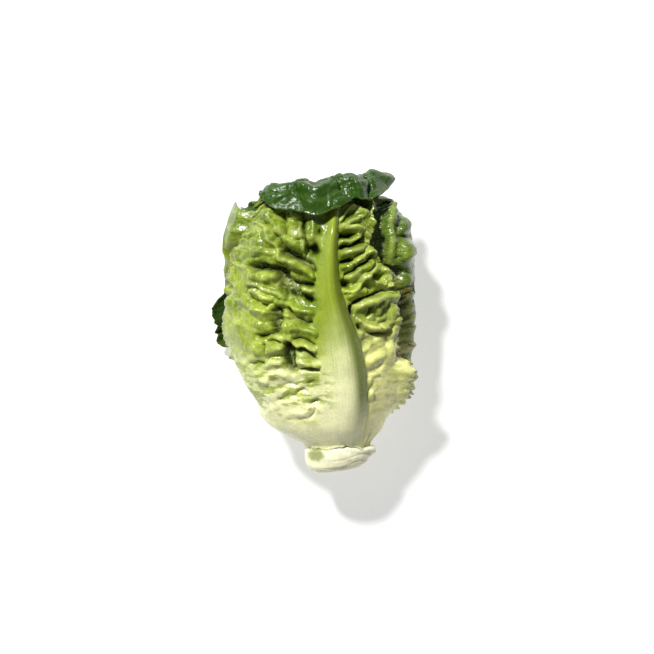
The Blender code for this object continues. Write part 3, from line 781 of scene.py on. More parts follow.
    def ruffles(self) -> Array:
        """The waves and ruffles at the margins.

        Returns:
            Heights in metres.
        """
        y, from_rib, seed, out = self.y, self.from_rib, self.seed, np.abs(self.u)
        wave = noise(y / SIZES.wave_length + 20.0, self.by_side(4.0, 12.0), seed + 2)
        turns = y / SIZES.ruffle_length + 1.3 * noise(y / 0.0065, from_rib / 0.012, seed + 6)
        ruffle = np.sin(2 * math.pi * turns) * (0.5 + 0.5 * np.abs(noise(y / 0.005, from_rib / 0.02, seed + 7)))
        strong = ease(0.03, 0.11, self.v) * (1.0 - 0.9 * (self.beyond > 0)) * curve(y, self.leaf.ruffle)
        self.crest = ease(0.1, 0.7, ruffle) * ease(0.8, 1.6, strong)
        height = SIZES.wave * wave * ease(0.72, 1.0, out)
        return (height + SIZES.ruffle * ruffle * ease(0.82, 1.0, out)) * strong

    def frills(self, height: Array) -> Array:
        """Lays stacked frills over the left side's outer part, where the leaf has them.

        Args:
            height: the blade's height without them.

        Returns:
            Its height with them.
        """
        y, from_rib, seed = self.y, self.from_rib, self.seed
        turn = (y / SIZES.frill_length + 0.85 * noise(y / 0.013, from_rib / 0.020, seed + 9) + from_rib / 0.016
                + 0.45 * noise(from_rib / 0.005, y / 0.006, seed + 9)) % 1.0
        uneven = 0.70 + 0.45 * noise(y / 0.009, from_rib / 0.009, seed + 11)
        edge = 0.16 * noise(y / 0.006, 0.0 * y, seed + 12)
        self.frilled = curve(y, self.leaf.frill) * ease(0.44, 0.72, edge - self.u) * uneven
        self.frill_turn = turn
        step = turn**0.8 * (1.0 - ease(0.86, 1.0, turn))
        return height * (1.0 - 0.7 * self.frilled) + (SIZES.frill * step - SIZES.frill_foot) * self.frilled

    def relief(self) -> Array:
        """The blade's height over its mean sheet, and the masks that its finish reads.

        Returns:
            Heights in metres, outwards from the head.
        """
        leaf, v, y, from_rib, seed = self.leaf, self.v, self.y, self.from_rib, self.seed
        by_hand = self.by_hand()
        strength = min(1.0, leaf.relief)
        count, between = self.count_panels()
        vein, vein_height = self.side_veins(between)
        puffs, net = self.puffs(count, by_hand)
        height = self.pockets(count, between) * (1.0 - 0.80 * by_hand) + vein_height * (1.0 - 0.5 * by_hand)
        # The blade is smooth at its firm foot and where it folds over at the tip.
        firm = ease(0.10, 0.40, v) * (1.0 - 0.75 * ease(0.90, 1.0, v))
        at_tip = ease(leaf.tip - 0.004, leaf.tip + 0.004, y)
        height = (height + puffs) * firm * leaf.relief * (1.0 - 0.85 * at_tip)
        along = y / SIZES.swell_length + self.by_side(9.0, 40.0)
        swell = noise(from_rib / SIZES.swell_length + 2.0, along, seed + 1)
        height = height + SIZES.swell * swell * ease(0.006, 0.030, from_rib) + self.hand_folds()
        crinkle = layered_noise(from_rib / 0.0048 + 2.0, y / 0.0036 + self.by_side(5.0, 50.0), seed + 8)
        crisp = SIZES.crinkle + SIZES.crinkle_by_relief * strength
        height = height + crisp * crinkle * ease(0.001, 0.006, from_rib) * ease(0.03, 0.12, v)
        height = self.frills(height + self.ruffles())
        vein = np.maximum(vein * (0.35 + 0.65 * np.exp(-from_rib / 0.03)), 0.45 * net * firm)
        vein = vein * (0.25 + 0.75 * strength) * (1.0 - 0.3 * by_hand)
        self.vein = np.maximum(vein, 0.75 * ease(0.55, 0.98, self.hand_vein))
        size = 1.0 - 0.5 * leaf.index / LEAF_COUNT
        return self.within_layer(height) * size * ease(0.0, 0.14, v)

    def within_layer(self, height: Array) -> Array:
        """Eases the blade's height into the room that it has between its neighbours.

        Args:
            height: the height wished for.

        Returns:
            The height that fits.
        """
        outward = np.maximum(height, 0.0) * (0.34 + 0.66 * self.shown)
        deepest = self.leaf.layer - SOLID_BLADE - CLEARANCE - SIZES.free
        inward = -deepest * np.tanh(-np.minimum(height, 0.0) / deepest)
        free = SIZES.free + SIZES.free_shown * self.shown
        outward = free * np.tanh(outward / free)
        if self.leaf.flap:
            outward = outward - self.flap_folds()
        return outward + inward

    def by_hand(self) -> Array:
        """Where the leaf's listed folds lie.

        Returns:
            1 there, easing to 0 elsewhere.
        """
        if not self.leaf.folds:
            return np.zeros_like(self.y)
        x = HEAD.place(self.y_on_head, self.angle, self.radius)[..., 0]
        facing = ease(0.15, 0.45, np.cos(self.angle))
        inside = ease(-0.046, -0.034, self.y) * (1.0 - ease(0.052, 0.062, self.y))
        return facing * inside * ease(-0.040, -0.030, x)

    def hand_folds(self) -> Array:
        """The listed folds, with masks of the deep hollows and the thin veins among them.

        Returns:
            Heights in metres.
        """
        self.deep = np.zeros_like(self.y)
        self.hand_vein = np.zeros_like(self.y)
        if not self.leaf.folds:
            return np.zeros_like(self.y)
        place = HEAD.place(self.y_on_head, self.angle, self.radius)
        x, y = place[..., 0], place[..., 1]
        stray = [0.0015 * layered_noise(x / 0.0075 + 9.0, y / 0.0075 + 2.0, seed) for seed in (871, 872)]
        uneven = 1.0 + 0.35 * noise(x / 0.0045, y / 0.0045, 873)
        total = np.zeros_like(self.y)
        for fold in self.leaf.folds:
            height = fold.height(x + stray[0], y + stray[1])
            total = total + height
            # Deep folds are painted darker at their bottom, as shade.
            if fold.rise <= DEEP:
                self.deep = np.maximum(self.deep, height / (0.001 * fold.rise))
            elif fold.rise > 0.0 and fold.half_width <= VEIN_LIKE:
                self.hand_vein = np.maximum(self.hand_vein, height / (0.001 * fold.rise))
        total = total * uneven
        start = self.by_side(0.0028, 0.0020)
        return total * ease(0.0, 0.3, np.cos(self.angle)) * ease(0.0, 1.0, self.from_rib / start)

    def flap_folds(self) -> Array:
        """The folded flap's lobes and creases.

        Returns:
            Heights in metres, towards the leaf's inner side, which the flap shows.
        """
        x = HEAD.place(self.y_on_head, self.angle, self.radius)[..., 0]
        border, own = cells(x / 0.0052 + 4.0, self.beyond / 0.0048 + 8.0, 877)
        total = 0.0007 * (1.0 + own) * np.clip(border / 0.5, 0.0, 1.0) ** 0.6
        self.fine_net = np.where(self.beyond > 0, 1.0 - ease(0.02, 0.14, border), self.fine_net)
        for fold in FLAP_FOLDS:
            total = total + fold.height(x, self.beyond)
        return total * ease(0.001, 0.006, self.beyond)

    def off_table(self) -> Array:
        """0 where the head's weight presses the sheet flat on the surface, and 1 clear of it."""
        low = HEAD.axis_height + HEAD.depth_share * self.radius * np.cos(self.angle)
        return ease(0.0004, 0.0060, low)

    @staticmethod
    def normals(points: Array) -> Array:
        """Unit normals of a grid of points.

        Args:
            points: the grid.

        Returns:
            The normals, outwards from the head.
        """
        along, across = np.gradient(points, axis=0), np.gradient(points, axis=1)
        found = np.cross(across, along)
        return found / np.maximum(np.linalg.norm(found, axis=-1, keepdims=True), 1e-12)

    def press(self) -> None:
        """Moves the sheet towards the head's axis wherever it would come too near to an older leaf over it."""
        if not self.older:
            return
        centres = HEAD.centre(self.points[..., 1])
        way = self.points - centres
        length = np.linalg.norm(way, axis=-1)
        way = way / length[..., None]
        least = length + self.ridge + BLADE + PRESS_GAP
        need = np.zeros(length.shape)
        starts, ways = centres.reshape(-1, 3).tolist(), way.reshape(-1, 3).tolist()
        for k, (start, direction) in enumerate(zip(starts, ways)):
            begin, heading = Vector(start), Vector(direction)
            for sheet in self.older:
                hit = sheet.tree.ray_cast(begin, heading, least.flat[k])[3]
                if hit is not None:
                    need.flat[k] = max(need.flat[k], least.flat[k] - hit)
        push = spread(spread(need, 2, True), 1, False)
        push = np.minimum(push, length - 0.002)
        self.points = self.points - way * push[..., None]

    def clear_of_stem(self) -> None:
        """Moves the sheet out wherever it would come too near to the stem's cone."""
        centres = HEAD.centre(self.points[..., 1])
        way = self.points - centres
        radius = np.hypot(way[..., 0], way[..., 2] / HEAD.depth_share)
        least = HEAD.stem_radius(self.points[..., 1]) + CLEARANCE + 0.7 * SOLID_BLADE
        least = np.where(self.points[..., 1] < HEAD.stem[-1][0] + 0.002, least, 0.0)
        self.points = centres + way * np.maximum(least / np.maximum(radius, 1e-6), 1.0)[..., None]

    def quads(self) -> Array:
        """The grid's squares.

        Returns:
            Their corner numbers, in the order that faces outwards.
        """
        rows, cols = self.v.shape
        r, c = np.meshgrid(np.arange(rows - 1), np.arange(cols - 1), indexing="ij")
        a = (r * cols + c).ravel()
        return np.stack([a, a + 1, a + 1 + cols, a + cols], -1)

    def sheet_tree(self) -> BVHTree:
        """A search tree of the leaf's middle sheet, for the younger leaves."""
        self.clear_of_stem()
        return BVHTree.FromPolygons(self.points.reshape(-1, 3).tolist(), self.quads().tolist())

    def both_sides(self) -> tuple[Array, Array]:
        """The leaf's two sides, the blade's thickness apart.

        Returns:
            Corners of the outer side, with the midrib's ridge, and of the inner side.
        """
        up = self.normals(self.points)
        thin = BLADE / 2 * (1.0 - 0.35 * ease(0.93, 1.0, np.abs(self.u)))
        thin = thin * (0.3 + 0.7 * ease(0.0, 0.03, self.v))
        outer = self.points + up * (thin + self.ridge)[..., None]
        inner = self.points - up * thin[..., None]
        if not self.leaf.lip:
            outer[0, :, 1] = inner[0, :, 1] = self.leaf.foot
        outer[..., 2] = np.maximum(outer[..., 2], 0.0)
        inner[..., 2] = np.maximum(inner[..., 2], 0.9 * BLADE)
        return outer, inner

    def faces(self) -> list[list[int]]:
        """The squares of the closed leaf.

        Returns:
            Corner numbers of the outer side, the inner side turned round, and the rim between them.
        """
        rows, cols = self.v.shape
        shift = rows * cols
        outer = self.quads()
        rim = [*range(cols)]
        rim += [r * cols + cols - 1 for r in range(1, rows)]
        rim += [(rows - 1) * cols + c for c in range(cols - 2, -1, -1)]
        rim += [r * cols for r in range(rows - 2, 0, -1)]
        here = np.array(rim)
        there = np.roll(here, -1)
        edge = np.stack([here, here + shift, there + shift, there], -1)
        return np.concatenate([outer, outer[:, ::-1] + shift, edge]).tolist()

    def masks(self) -> dict[str, Array]:
        """The numbers that the leaf's finish reads at each place of the grid.

        Returns:
            Grids by name: the share of height, the veins and their net, the midrib and the painted shade on
            its right flank, hollows with painted shade (partly a deeper green), puffs, browned margins, pale parts,
            deep folds and frill gaps with painted shade, and the place along and across the leaf.
        """
        leaf = self.leaf
        rib = self.by_side(1.0 - ease(0.2, 1.3, self.across), 1.0 - ease(0.80, 1.05, self.across))
        rib = rib * (1.0 - ease(leaf.tip - 0.010, leaf.tip - 0.003, self.y))
        # Painted shade on the midrib's right flank, over its own greener colour.
        flank = np.where(self.side > 0, ease(0.14, 0.66, self.across), 0.0)
        flank = flank * (1.0 - ease(0.98, 1.25, self.across))
        flank = flank * (1.0 - ease(leaf.tip - 0.016, leaf.tip - 0.006, self.y))
        margin = np.maximum(ease(0.940, 0.99, np.abs(self.u)), ease(0.975, 1.0, self.v))
        margin = margin * np.where(self.side > 0, 0.55 if leaf.index == 0 else 0.25, 1.0)
        on_crest = ease(0.88, 0.96, np.abs(self.u)) * self.crest * (leaf.flare == 0.0)
        margin = np.maximum(margin, 1.6 * on_crest)
        tips = ease(0.55, 0.80, self.frill_turn) * (1.0 - ease(0.90, 1.0, self.frill_turn))
        margin = np.maximum(margin, 1.5 * self.frilled * tips)
        # Painted shade in the gaps between the frills.
        frill_gap_shade = self.frilled * (1.0 - ease(0.04, 0.26, self.frill_turn))
        return {
            "leaf_height": np.clip((self.y - leaf.foot) / (leaf.tip - leaf.foot), 0.0, 1.3),
            "leaf_vein": self.vein,
            "leaf_net": self.fine_net,
            "leaf_rib": rib,
            "leaf_flank_shade": flank * (0.3 + 0.7 * self.shown),
            # painted shade in the hollows, partly a deeper green
            "leaf_dip_shade": np.clip(-self.lift / 0.0042, 0.0, 1.0),
            "leaf_puff": np.clip(self.lift / 0.0030, 0.0, 1.0),
            "leaf_margin": margin,
            "leaf_pale": self.pale(),
            "leaf_deep_shade": np.clip(np.maximum(1.5 * self.deep - 0.12, frill_gap_shade), 0.0, 1.0),
            "leaf_along": self.y,
            "leaf_across": self.side * self.from_mid,
        }

    def pale(self) -> Array:
        """Where the blade is pale and straw-coloured: the front leaf's right side, the back leaf's frills.

        Returns:
            Over 0 there, and 0 elsewhere.
        """
        if self.leaf.index == 1:
            return 1.6 * self.frilled
        return (self.side + 1.0) / 2.0 * (self.leaf.index == 0)

    def build(self, material: bpy.types.Material, slot: str) -> bpy.types.Object:
        """Makes the leaf's object and puts it in its node's place.

        Args:
            material: the leaf's finish.
            slot: not used.

        Returns:
            The object.
        """
        outer, inner = self.both_sides()
        corners = np.concatenate([outer.reshape(-1, 3), inner.reshape(-1, 3)])
        masks = {name: np.concatenate([grid.ravel(), grid.ravel()]) for name, grid in self.masks().items()}
        masks["leaf_inner"] = np.repeat([0.0, 1.0], outer[..., 0].size)
        piece = make_piece(f"{self.leaf.name}_blade", corners, self.faces(), material, masks)
        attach(piece, "root")
        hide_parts(self.leaf.name)
        return piece


def make_piece(name: str, corners: Array, faces: list[list[int]], material: bpy.types.Material,
               masks: dict[str, Array]) -> bpy.types.Object:
    """Makes a smooth mesh object with the masks that its finish reads.

    Args:
        name: the object's name.
        corners: its points.
        faces: corner numbers of each face.
        material: its finish.
        masks: values by mask name, one for each corner.

    Returns:
        The object, linked to the scene.
    """
    mesh = bpy.data.meshes.new(name)
    mesh.from_pydata(corners.tolist(), [], faces)
    mesh.materials.append(material)
    mesh.shade_smooth()
    for mask, values in masks.items():
        mesh.attributes.new(mask, "FLOAT", "POINT").data.foreach_set("value", values.astype(np.float32))
    piece = bpy.data.objects.new(name, mesh)
    bpy.context.scene.collection.objects.link(piece)
    return piece


FRONT_LEFT: Knots = ((0.0, 90), (0.06, 98), (0.14, 106), (0.28, 108), (0.40, 104), (0.48, 88), (0.55, 76),
                     (0.62, 68), (0.68, 57), (0.74, 55), (0.84, 60), (1.0, 60))
FRONT_RIGHT: Knots = ((0.0, 62), (0.08, 66), (0.15, 66), (0.28, 62), (0.40, 56), (0.48, 49), (0.55, 45),
                      (0.62, 38), (0.69, 33), (0.76, 31), (0.80, 33), (0.84, 42), (0.88, 50), (1.0, 52))
PLAIN_SIDE: Knots = ((0.0, 52), (0.1, 56), (0.3, 76), (0.55, 90), (0.8, 84), (1.0, 58))
WIDE_SIDE: Knots = ((0.0, 52), (0.10, 62), (0.30, 88), (0.45, 92), (0.57, 94), (0.66, 106), (0.80, 112),
                    (0.92, 100), (1.0, 66))
FLARED_SIDE: Knots = ((0.0, 52), (0.1, 58), (0.3, 82), (0.5, 101), (0.62, 97), (0.8, 80), (1.0, 58))
HEART_SIDE: Knots = ((0.0, 56), (0.2, 72), (0.55, 92), (0.8, 86), (1.0, 60))
FIRST_HEART = 9  # the index of the first pale heart leaf

# The front leaf's folds, from the top of its left side down, then from the top of its right side down.
FRONT_FOLDS = folds(
    # left: the upright crease with a vein beside it, and the pocket at its foot, under the flap
    (-5.6, 53.0, -3.4, 32.5, 0.75, -5.0, -0.6), (-6.9, 45.0, -4.8, 31.0, 0.6, 1.2, -0.5),
    (-2.2, 34.8, 1.4, 33.6, 2.1, -7.5), (2.2, 44.0, 2.6, 41.0, 1.0, -3.5), (-2.4, 51.0, -1.2, 40.0, 2.0, 2.4),
    (-11.4, 51.0, -10.4, 44.0, 4.2, 3.0), (-21.5, 51.0, -20.0, 39.0, 3.6, 3.4),
    (-16.8, 52.0, -14.6, 40.5, 0.9, -3.0, 1.0), (-12.0, 37.4, -5.6, 34.2, 3.4, 4.0),
    (-14.2, 40.4, -6.4, 40.0, 0.8, -2.4, -1.2),
    # the black slit, and the thick side vein under it, which goes on upwards as a thin one
    (-15.4, 33.2, 0.2, 24.9, 1.6, -9.0, 0.5), (-16.4, 28.9, -0.8, 20.8, 2.1, 4.6, 0.7),
    (-17.2, 29.8, -26.2, 45.4, 0.7, 2.2, -1.8), (-15.4, 31.6, -24.0, 46.0, 0.9, -3.2, -1.8),
    # the lobe at the upper left, the dark hollows under its edge, and the slits towards the midrib
    (-27.2, 40.0, -25.4, 33.4, 4.4, 3.6), (-31.0, 25.6, -15.0, 23.4, 1.9, -8.0),
    (-17.4, 22.4, -14.0, 19.4, 2.8, -8.0), (-16.0, 18.4, -10.2, 13.8, 3.7, -10.0),
    (-11.0, 18.2, -0.8, 16.4, 1.1, -6.5), (-9.2, 15.4, -0.8, 13.4, 0.9, 2.0),
    (-7.4, 12.6, -0.8, 9.3, 1.15, -7.5), (-29.0, 21.4, -22.6, 19.4, 2.8, 4.2),
    (-32.0, 16.8, -14.4, 9.6, 1.1, 3.4, 1.4),
    # the panel with the curved slit
    (-16.6, 7.6, -0.8, 2.2, 2.0, 3.0, 0.5), (-12.8, 4.6, -2.2, -1.6, 1.2, -6.0, -2.0),
    (-31.0, 13.2, -21.0, 10.4, 1.5, 2.4), (-31.0, 9.6, -23.6, 7.4, 0.8, -3.4),
    (-29.0, 4.6, -24.0, 3.6, 2.2, 2.6),
    # the long shaded valley beside the midrib
    (-18.4, 4.6, -20.4, -4.0, 3.3, -9.0), (-28.0, -7.4, -17.0, -5.4, 1.5, -6.0),
    (-21.4, -7.2, -12.4, -9.4, 1.1, 2.8, 0.6), (-11.4, -4.6, -1.0, -6.6, 1.6, 2.6),
    (-11.4, -9.8, -1.2, -12.4, 1.1, -5.0, 0.6), (-9.6, -13.2, -0.6, -15.0, 1.0, 2.0),
    (-14.6, -11.4, -10.8, -25.0, 2.5, -9.0, -0.6), (-9.8, -15.4, 0.4, -18.4, 1.1, -5.0, 0.8),
    (-10.4, -19.8, 1.4, -21.6, 1.4, 2.6), (-9.4, -23.2, 5.0, -25.4, 0.9, -3.0, 0.9),
    # the two curled lobes at its outer side, and the puffs under them
    (-29.6, -13.4, -27.8, -16.8, 1.8, 4.0), (-26.1, -12.8, -25.2, -18.4, 0.8, -5.0, 0.5),
    (-23.6, -16.4, -17.2, -12.8, 2.1, 4.2, 0.6), (-24.0, -10.2, -18.0, -9.8, 1.0, -4.0),
    (-33.4, -21.4, -27.0, -20.4, 1.0, -3.2), (-24.4, -21.6, -15.6, -20.4, 2.0, 2.6, 0.8),
    (-22.0, -26.4, -15.6, -28.0, 2.6, 1.8), (-30.0, -26.0, -25.0, -31.0, 2.6, 1.6),
    # the pale lower blade's small pockets
    (-19.3, -39.0, -11.6, -36.4, 1.1, -1.7, 0.6), (-10.0, -36.6, -4.2, -35.4, 1.0, -1.6, 0.5),
    (-1.6, -40.4, 4.0, -39.6, 1.2, -1.8), (-2.6, -32.0, -0.6, -31.0, 1.4, -1.4),
    (-18.0, -33.4, -9.0, -32.0, 1.2, -1.3, 0.6), (-24.0, -37.0, -18.0, -45.0, 1.8, 1.4),
    (-14.0, -48.6, 0.6, -43.4, 0.8, -1.4, -1.6), (-12.0, -44.8, -3.0, -42.6, 1.6, 1.2, -0.8),
    # right: creases that fan out of the midrib's top
    (10.4, 46.0, 19.0, 53.0, 0.6, -1.8), (10.8, 47.4, 16.6, 54.0, 1.0, 1.6), (11.2, 45.0, 22.0, 49.4, 1.2, 2.0),
    (11.0, 44.4, 22.6, 46.8, 0.6, -1.8),
    # bumps and pockets by turns along the midrib, with creases out to the margin
    (9.6, 44.4, 21.4, 42.6, 1.3, 3.4, 0.9), (11.0, 40.6, 17.6, 41.0, 1.3, -7.5),
    (9.6, 37.4, 20.4, 38.8, 1.0, 3.4), (9.8, 35.0, 22.4, 39.2, 0.85, -8.0, -0.8),
    (11.6, 32.2, 22.0, 35.0, 2.0, 3.8), (11.2, 28.2, 17.6, 28.8, 1.2, -7.0), (11.0, 24.2, 15.6, 25.2, 1.6, 3.8),
    (15.0, 26.4, 25.4, 32.6, 1.1, 2.8, -0.6), (12.6, 20.8, 26.8, 30.6, 0.85, -8.0, -1.2),
    (15.2, 20.6, 25.2, 27.4, 2.3, 4.4, -0.6), (11.4, 17.8, 14.8, 17.4, 1.6, -7.0),
    (12.4, 14.2, 23.6, 20.0, 1.2, 3.4, -2.2), (15.4, 11.6, 24.4, 14.0, 1.8, 3.0),
    (15.4, 7.6, 34.0, 16.2, 0.85, -8.0, -1.0), (24.0, 20.0, 27.6, 26.2, 0.9, 3.0),
    (32.6, 24.0, 33.8, 18.0, 1.0, 3.0), (24.0, 19.2, 33.6, 17.2, 0.9, 2.6), (26.6, 21.6, 30.4, 21.2, 1.6, -4.6),
    (15.6, 7.4, 17.2, 4.4, 1.4, -7.5),
    # the large lobe at the right, with its small pockets and its lower rim
    (21.4, 6.4, 35.4, 10.4, 2.9, 4.2, 0.8), (23.8, 2.4, 26.0, 5.4, 1.0, -3.6),
    (29.0, 1.6, 31.4, 4.8, 1.0, -3.4), (19.8, 0.6, 33.4, -4.0, 1.1, 3.2, -1.8),
    (19.6, -1.8, 33.6, -6.4, 0.9, -4.4, -1.9),
    *((17.0 + 0.7 * k, -15.0 - 4.2 * k, 37.0 - 1.6 * k, -1.6 - 4.9 * k, 1.3, 1.0 if k % 2 else -0.7, 0.8)
      for k in range(9)),
)

# The back right leaf's folds: the lit crest at the head's right edge, with the dark hollow to its left.
BACK_FOLDS = folds(
    (28.0, 61.0, 36.0, 50.0, 4.5, 3.0), (36.8, 56.0, 36.2, 28.0, 1.5, 6.0, -1.2, 0.5),
    (27.0, 47.0, 30.0, 24.0, 5.4, -8.0), (43.4, 49.0, 43.0, 45.0, 4.4, 5.0), (42.6, 35.0, 42.8, 32.0, 4.6, 4.6),
    (38.6, 40.6, 47.0, 39.4, 1.0, -3.4, 0.6), (39.4, 52.0, 39.4, 30.0, 0.8, -3.0),
    (33.0, 23.4, 42.0, 22.6, 3.4, -6.5), (28.0, 52.0, 40.0, 55.0, 0.6, -2.2, 0.8),
)

# The flap's lobes and creases, by x and by how far beyond the fold line they lie.
FLAP_FOLDS = folds(
    (14.6, 10.0, 14.6, 13.0, 4.6, 3.4), (7.5, 8.0, 9.5, 19.0, 0.9, -2.2), (20.8, 5.0, 19.0, 20.0, 0.9, -2.8),
    (26.0, 12.0, 37.0, 9.0, 3.6, 2.4), (1.0, 11.0, -2.0, 20.0, 4.6, 2.4), (-8.0, 9.0, -4.0, 24.0, 0.8, -2.0),
    (-19.0, 11.0, -12.0, 16.0, 4.4, 2.2), (-25.0, 10.0, -3.0, 19.0, 0.5, -0.8),
    (4.0, 12.0, 4.0, 24.0, 0.5, 0.9),
)


class Head:
    """The whole head: its leaves, oldest first, and the stem that carries them."""

    GRIDS = ((224, 200), (250, 160), (180, 150), (160, 148), (140, 126), (122, 108), (104, 92), (92, 80))
    HEART_GRID = (66, 60)

    def leaves(self) -> list[Leaf]:
        """Sizes of every leaf, by the rule that the part's source grows them with.

        Returns:
            The leaves, oldest first.
        """
        made = []
        for i in range(LEAF_COUNT):
            age = i / (LEAF_COUNT - 1)
            side = PLAIN_SIDE if i < FIRST_HEART else HEART_SIDE
            stray = np.random.default_rng(300 + i).uniform(-5.0, 5.0, 3)
            made.append(Leaf(
                index=i, tip=TIP_HIGHEST - TIP_DROP * age * age, left=side, right=side,
                sway=((-0.06, stray[0]), (0.0, stray[1]), (0.07, stray[2])),
                rib_width=0.0100 - 0.0078 * age, rib_height=0.0046 * (1 - age) + 0.0010,
                layer=OUTER_LAYER + (INNER_LAYER - OUTER_LAYER) * min(1.0, i / 8),
                grid=self.GRIDS[i] if i < len(self.GRIDS) else self.HEART_GRID,
            ))
        front, back, left = made[0], made[1], made[2]
        front.tip, front.flap, front.layer = 0.0640, 0.0260, FRONT_LAYER
        front.left, front.right = FRONT_LEFT, FRONT_RIGHT
        front.sway = ((-0.060, 6.4), (-0.047, 10.1), (-0.034, 7.8), (-0.021, 5.4), (-0.008, 3.8), (0.005, 0.3),
                      (0.018, -1.2), (0.031, -0.6), (0.044, 2.0), (0.0525, 5.4), (0.059, 14.0), (0.066, 22.0))
        front.crown, front.point, front.rib_width, front.rib_height = 0.13, 2.4, 0.0104, 0.0052
        front.folds = FRONT_FOLDS
        front.bulge = ((-0.044, 0.0), (-0.027, 0.0036), (-0.014, 0.0008), (-0.006, 0.0))
        front.lip = 0.0018
        front.ruffle = ((-0.056, 2.0), (-0.022, 2.3), (-0.008, 0.8), (0.010, 0.35), (0.070, 0.35))
        front.notches = ((-0.055, 1.06), (-0.042, 1.00), (-0.028, 0.93), (-0.018, 0.84), (-0.008, 0.79),
                         (0.0050, 0.84), (0.0128, 0.98), (0.0142, 0.80), (0.0175, 0.92), (0.0200, 0.98),
                         (0.0250, 0.84), (0.0316, 0.76), (0.0370, 0.70), (0.0400, 0.76), (0.0440, 0.90),
                         (0.0520, 0.92), (0.0600, 1.0))
        back.tip, back.crown, back.flare, back.relief = 0.0640, 0.12, 0.0160, 0.25
        back.left, back.right, back.folds = WIDE_SIDE, FLARED_SIDE, BACK_FOLDS
        back.ruffle = ((-0.052, 0.8), (-0.042, 2.0), (0.014, 2.2), (0.022, 0.20), (0.070, 0.1))
        back.curl = ((-0.056, 0.0), (-0.044, 0.0030), (0.0, 0.0030), (0.016, 0.0020), (0.022, 0.0))
        back.bulge = ((-0.057, 0.0), (-0.048, 0.0045), (-0.034, 0.0030), (-0.020, 0.0020), (0.0, 0.0006),
                      (0.02, 0.0))
        back.frill = ((-0.052, 0.0), (-0.044, 1.0), (0.012, 1.0), (0.021, 0.0))
        left.tip, left.crown, left.point, left.relief = 0.0590, 0.21, 1.15, 0.07
        left.ruffle = ((-0.050, 0.5), (0.070, 0.3))
        left.sway = ((-0.06, 0.0), (0.0, 0.0), (0.07, -5.0))
        return made

    def build(self, pigments: "Pigments") -> list[bpy.types.Object]:
        """Builds every leaf.

        Args:
            pigments: the head's finishes.

        Returns:
            The pieces, in order.
        """
        pieces, sheets = [], []
        for leaf in self.leaves():
            sheet = LeafSheet(leaf, sheets)
            is_heart = leaf.index >= FIRST_HEART
            material = pigments.heart if is_heart else pigments.front if leaf.index in (0, 2) else pigments.outer
            piece = sheet.build(material, "heart_leaf" if is_heart else "outer_leaf")
            log.info("%s: %d faces", piece.name, len(piece.data.polygons))
            sheets = [*sheets, sheet]
            pieces.append(piece)
        return pieces


def from_screen(red: int, green: int, blue: int) -> Colour:
    """A screen colour from 0 to 255 as the linear one that a shader takes.

    Args:
        red: its red.
        green: its green.
        blue: its blue.

    Returns:
        The linear colour.
    """
    def linear(value: int) -> float:
        """One channel, without the screen's curve."""
        share = value / 255.0
        return share / 12.92 if share <= 0.04045 else ((share + 0.055) / 1.055) ** 2.4

    return linear(red), linear(green), linear(blue)


class Blend(Enum):
    """How one colour is laid over another."""

    MIX = "MIX"
    MULTIPLY = "MULTIPLY"


class Wiring:
    """A node tree that is being wired."""

    def __init__(self, tree: bpy.types.NodeTree) -> None:
        """Takes the tree to add nodes to."""
        self.tree = tree

    def add(self, kind: str, inputs: dict | None = None, **settings: object) -> bpy.types.Node:
        """Adds a node.

        Args:
            kind: the node's type.
            inputs: values, or sockets to join, by input name or number.
            settings: the node's own properties.

        Returns:
            The node.
        """
        node = self.tree.nodes.new(kind)
        for name, value in settings.items():
            setattr(node, name, value)
        return self.fill(node, inputs or {})

    def fill(self, node: bpy.types.Node, inputs: dict) -> bpy.types.Node:
        """Sets inputs of a node, or joins sockets to them.

        Args:
            node: the node.
            inputs: values, or sockets to join, by input name or number.

        Returns:
            The same node.
        """
        for key, value in inputs.items():
            if isinstance(value, bpy.types.NodeSocket):
                self.join(value, node.inputs[key])
            else:
                node.inputs[key].default_value = value
        return node

    def attribute(self, name: str) -> bpy.types.NodeSocket:
        """The value of one of the mesh's masks."""
        return self.add("ShaderNodeAttribute", attribute_name=name, attribute_type="GEOMETRY").outputs["Fac"]

    def maths(self, operation: str, a: object, b: object = 0.0, c: object = 0.0) -> bpy.types.NodeSocket:
        """The result of a Math node.

        Args:
            operation: what it works out.
            a: its first value or socket.
            b: its second, where it takes two.
            c: its third, where it takes three.

        Returns:
            The socket of its result.
        """
        count = {"MULTIPLY_ADD": 3, "SQRT": 1}.get(operation, 2)
        values = dict(enumerate((a, b, c)[:count]))
        return self.add("ShaderNodeMath", values, operation=operation).outputs[0]

    def times(self, a: object, b: object) -> bpy.types.NodeSocket:
        """The product of two values."""
        return self.maths("MULTIPLY", a, b)

    def join(self, value: bpy.types.NodeSocket, socket: bpy.types.NodeSocket) -> None:
        """Joins an output to an input."""
        self.tree.links.new(value, socket)

    def span(self, value: object, low: float, high: float, start: float = 0.0,
             end: float = 1.0) -> bpy.types.NodeSocket:
        """An eased climb while a value grows.

        Args:
            value: the value, or its socket.
            low: where the climb starts.
            high: where it ends.
            start: the result up to low.
            end: the result from high on.

        Returns:
            The socket of the result.
        """
        node = self.add("ShaderNodeMapRange", {"Value": value, "From Min": low, "From Max": high, "To Min": start,
                                               "To Max": end}, interpolation_type="SMOOTHSTEP")
        return node.outputs["Result"]

    def mix(self, share: object, under: object, over: object, blend: Blend = Blend.MIX) -> bpy.types.NodeSocket:
        """One colour laid over another.

        Args:
            share: how much of it shows, from 0 to 1.
            under: the lower colour.
            over: the upper colour.
            blend: how it is laid.

        Returns:
            The colour socket.
        """
        under, over = (opaque(c) if isinstance(c, tuple) else c for c in (under, over))
        node = self.add("ShaderNodeMix", {0: share, 6: under, 7: over}, data_type="RGBA", blend_type=blend.value)
        return node.outputs[2]

    def noise(self, vector: object, scale: float, detail: float = 3.0,
              roughness: float = 0.55) -> bpy.types.NodeSocket:
        """The value of a noise texture, from 0 to 1."""
        return self.add("ShaderNodeTexNoise", {"Vector": vector, "Scale": scale, "Detail": detail,
                                               "Roughness": roughness}).outputs[0]


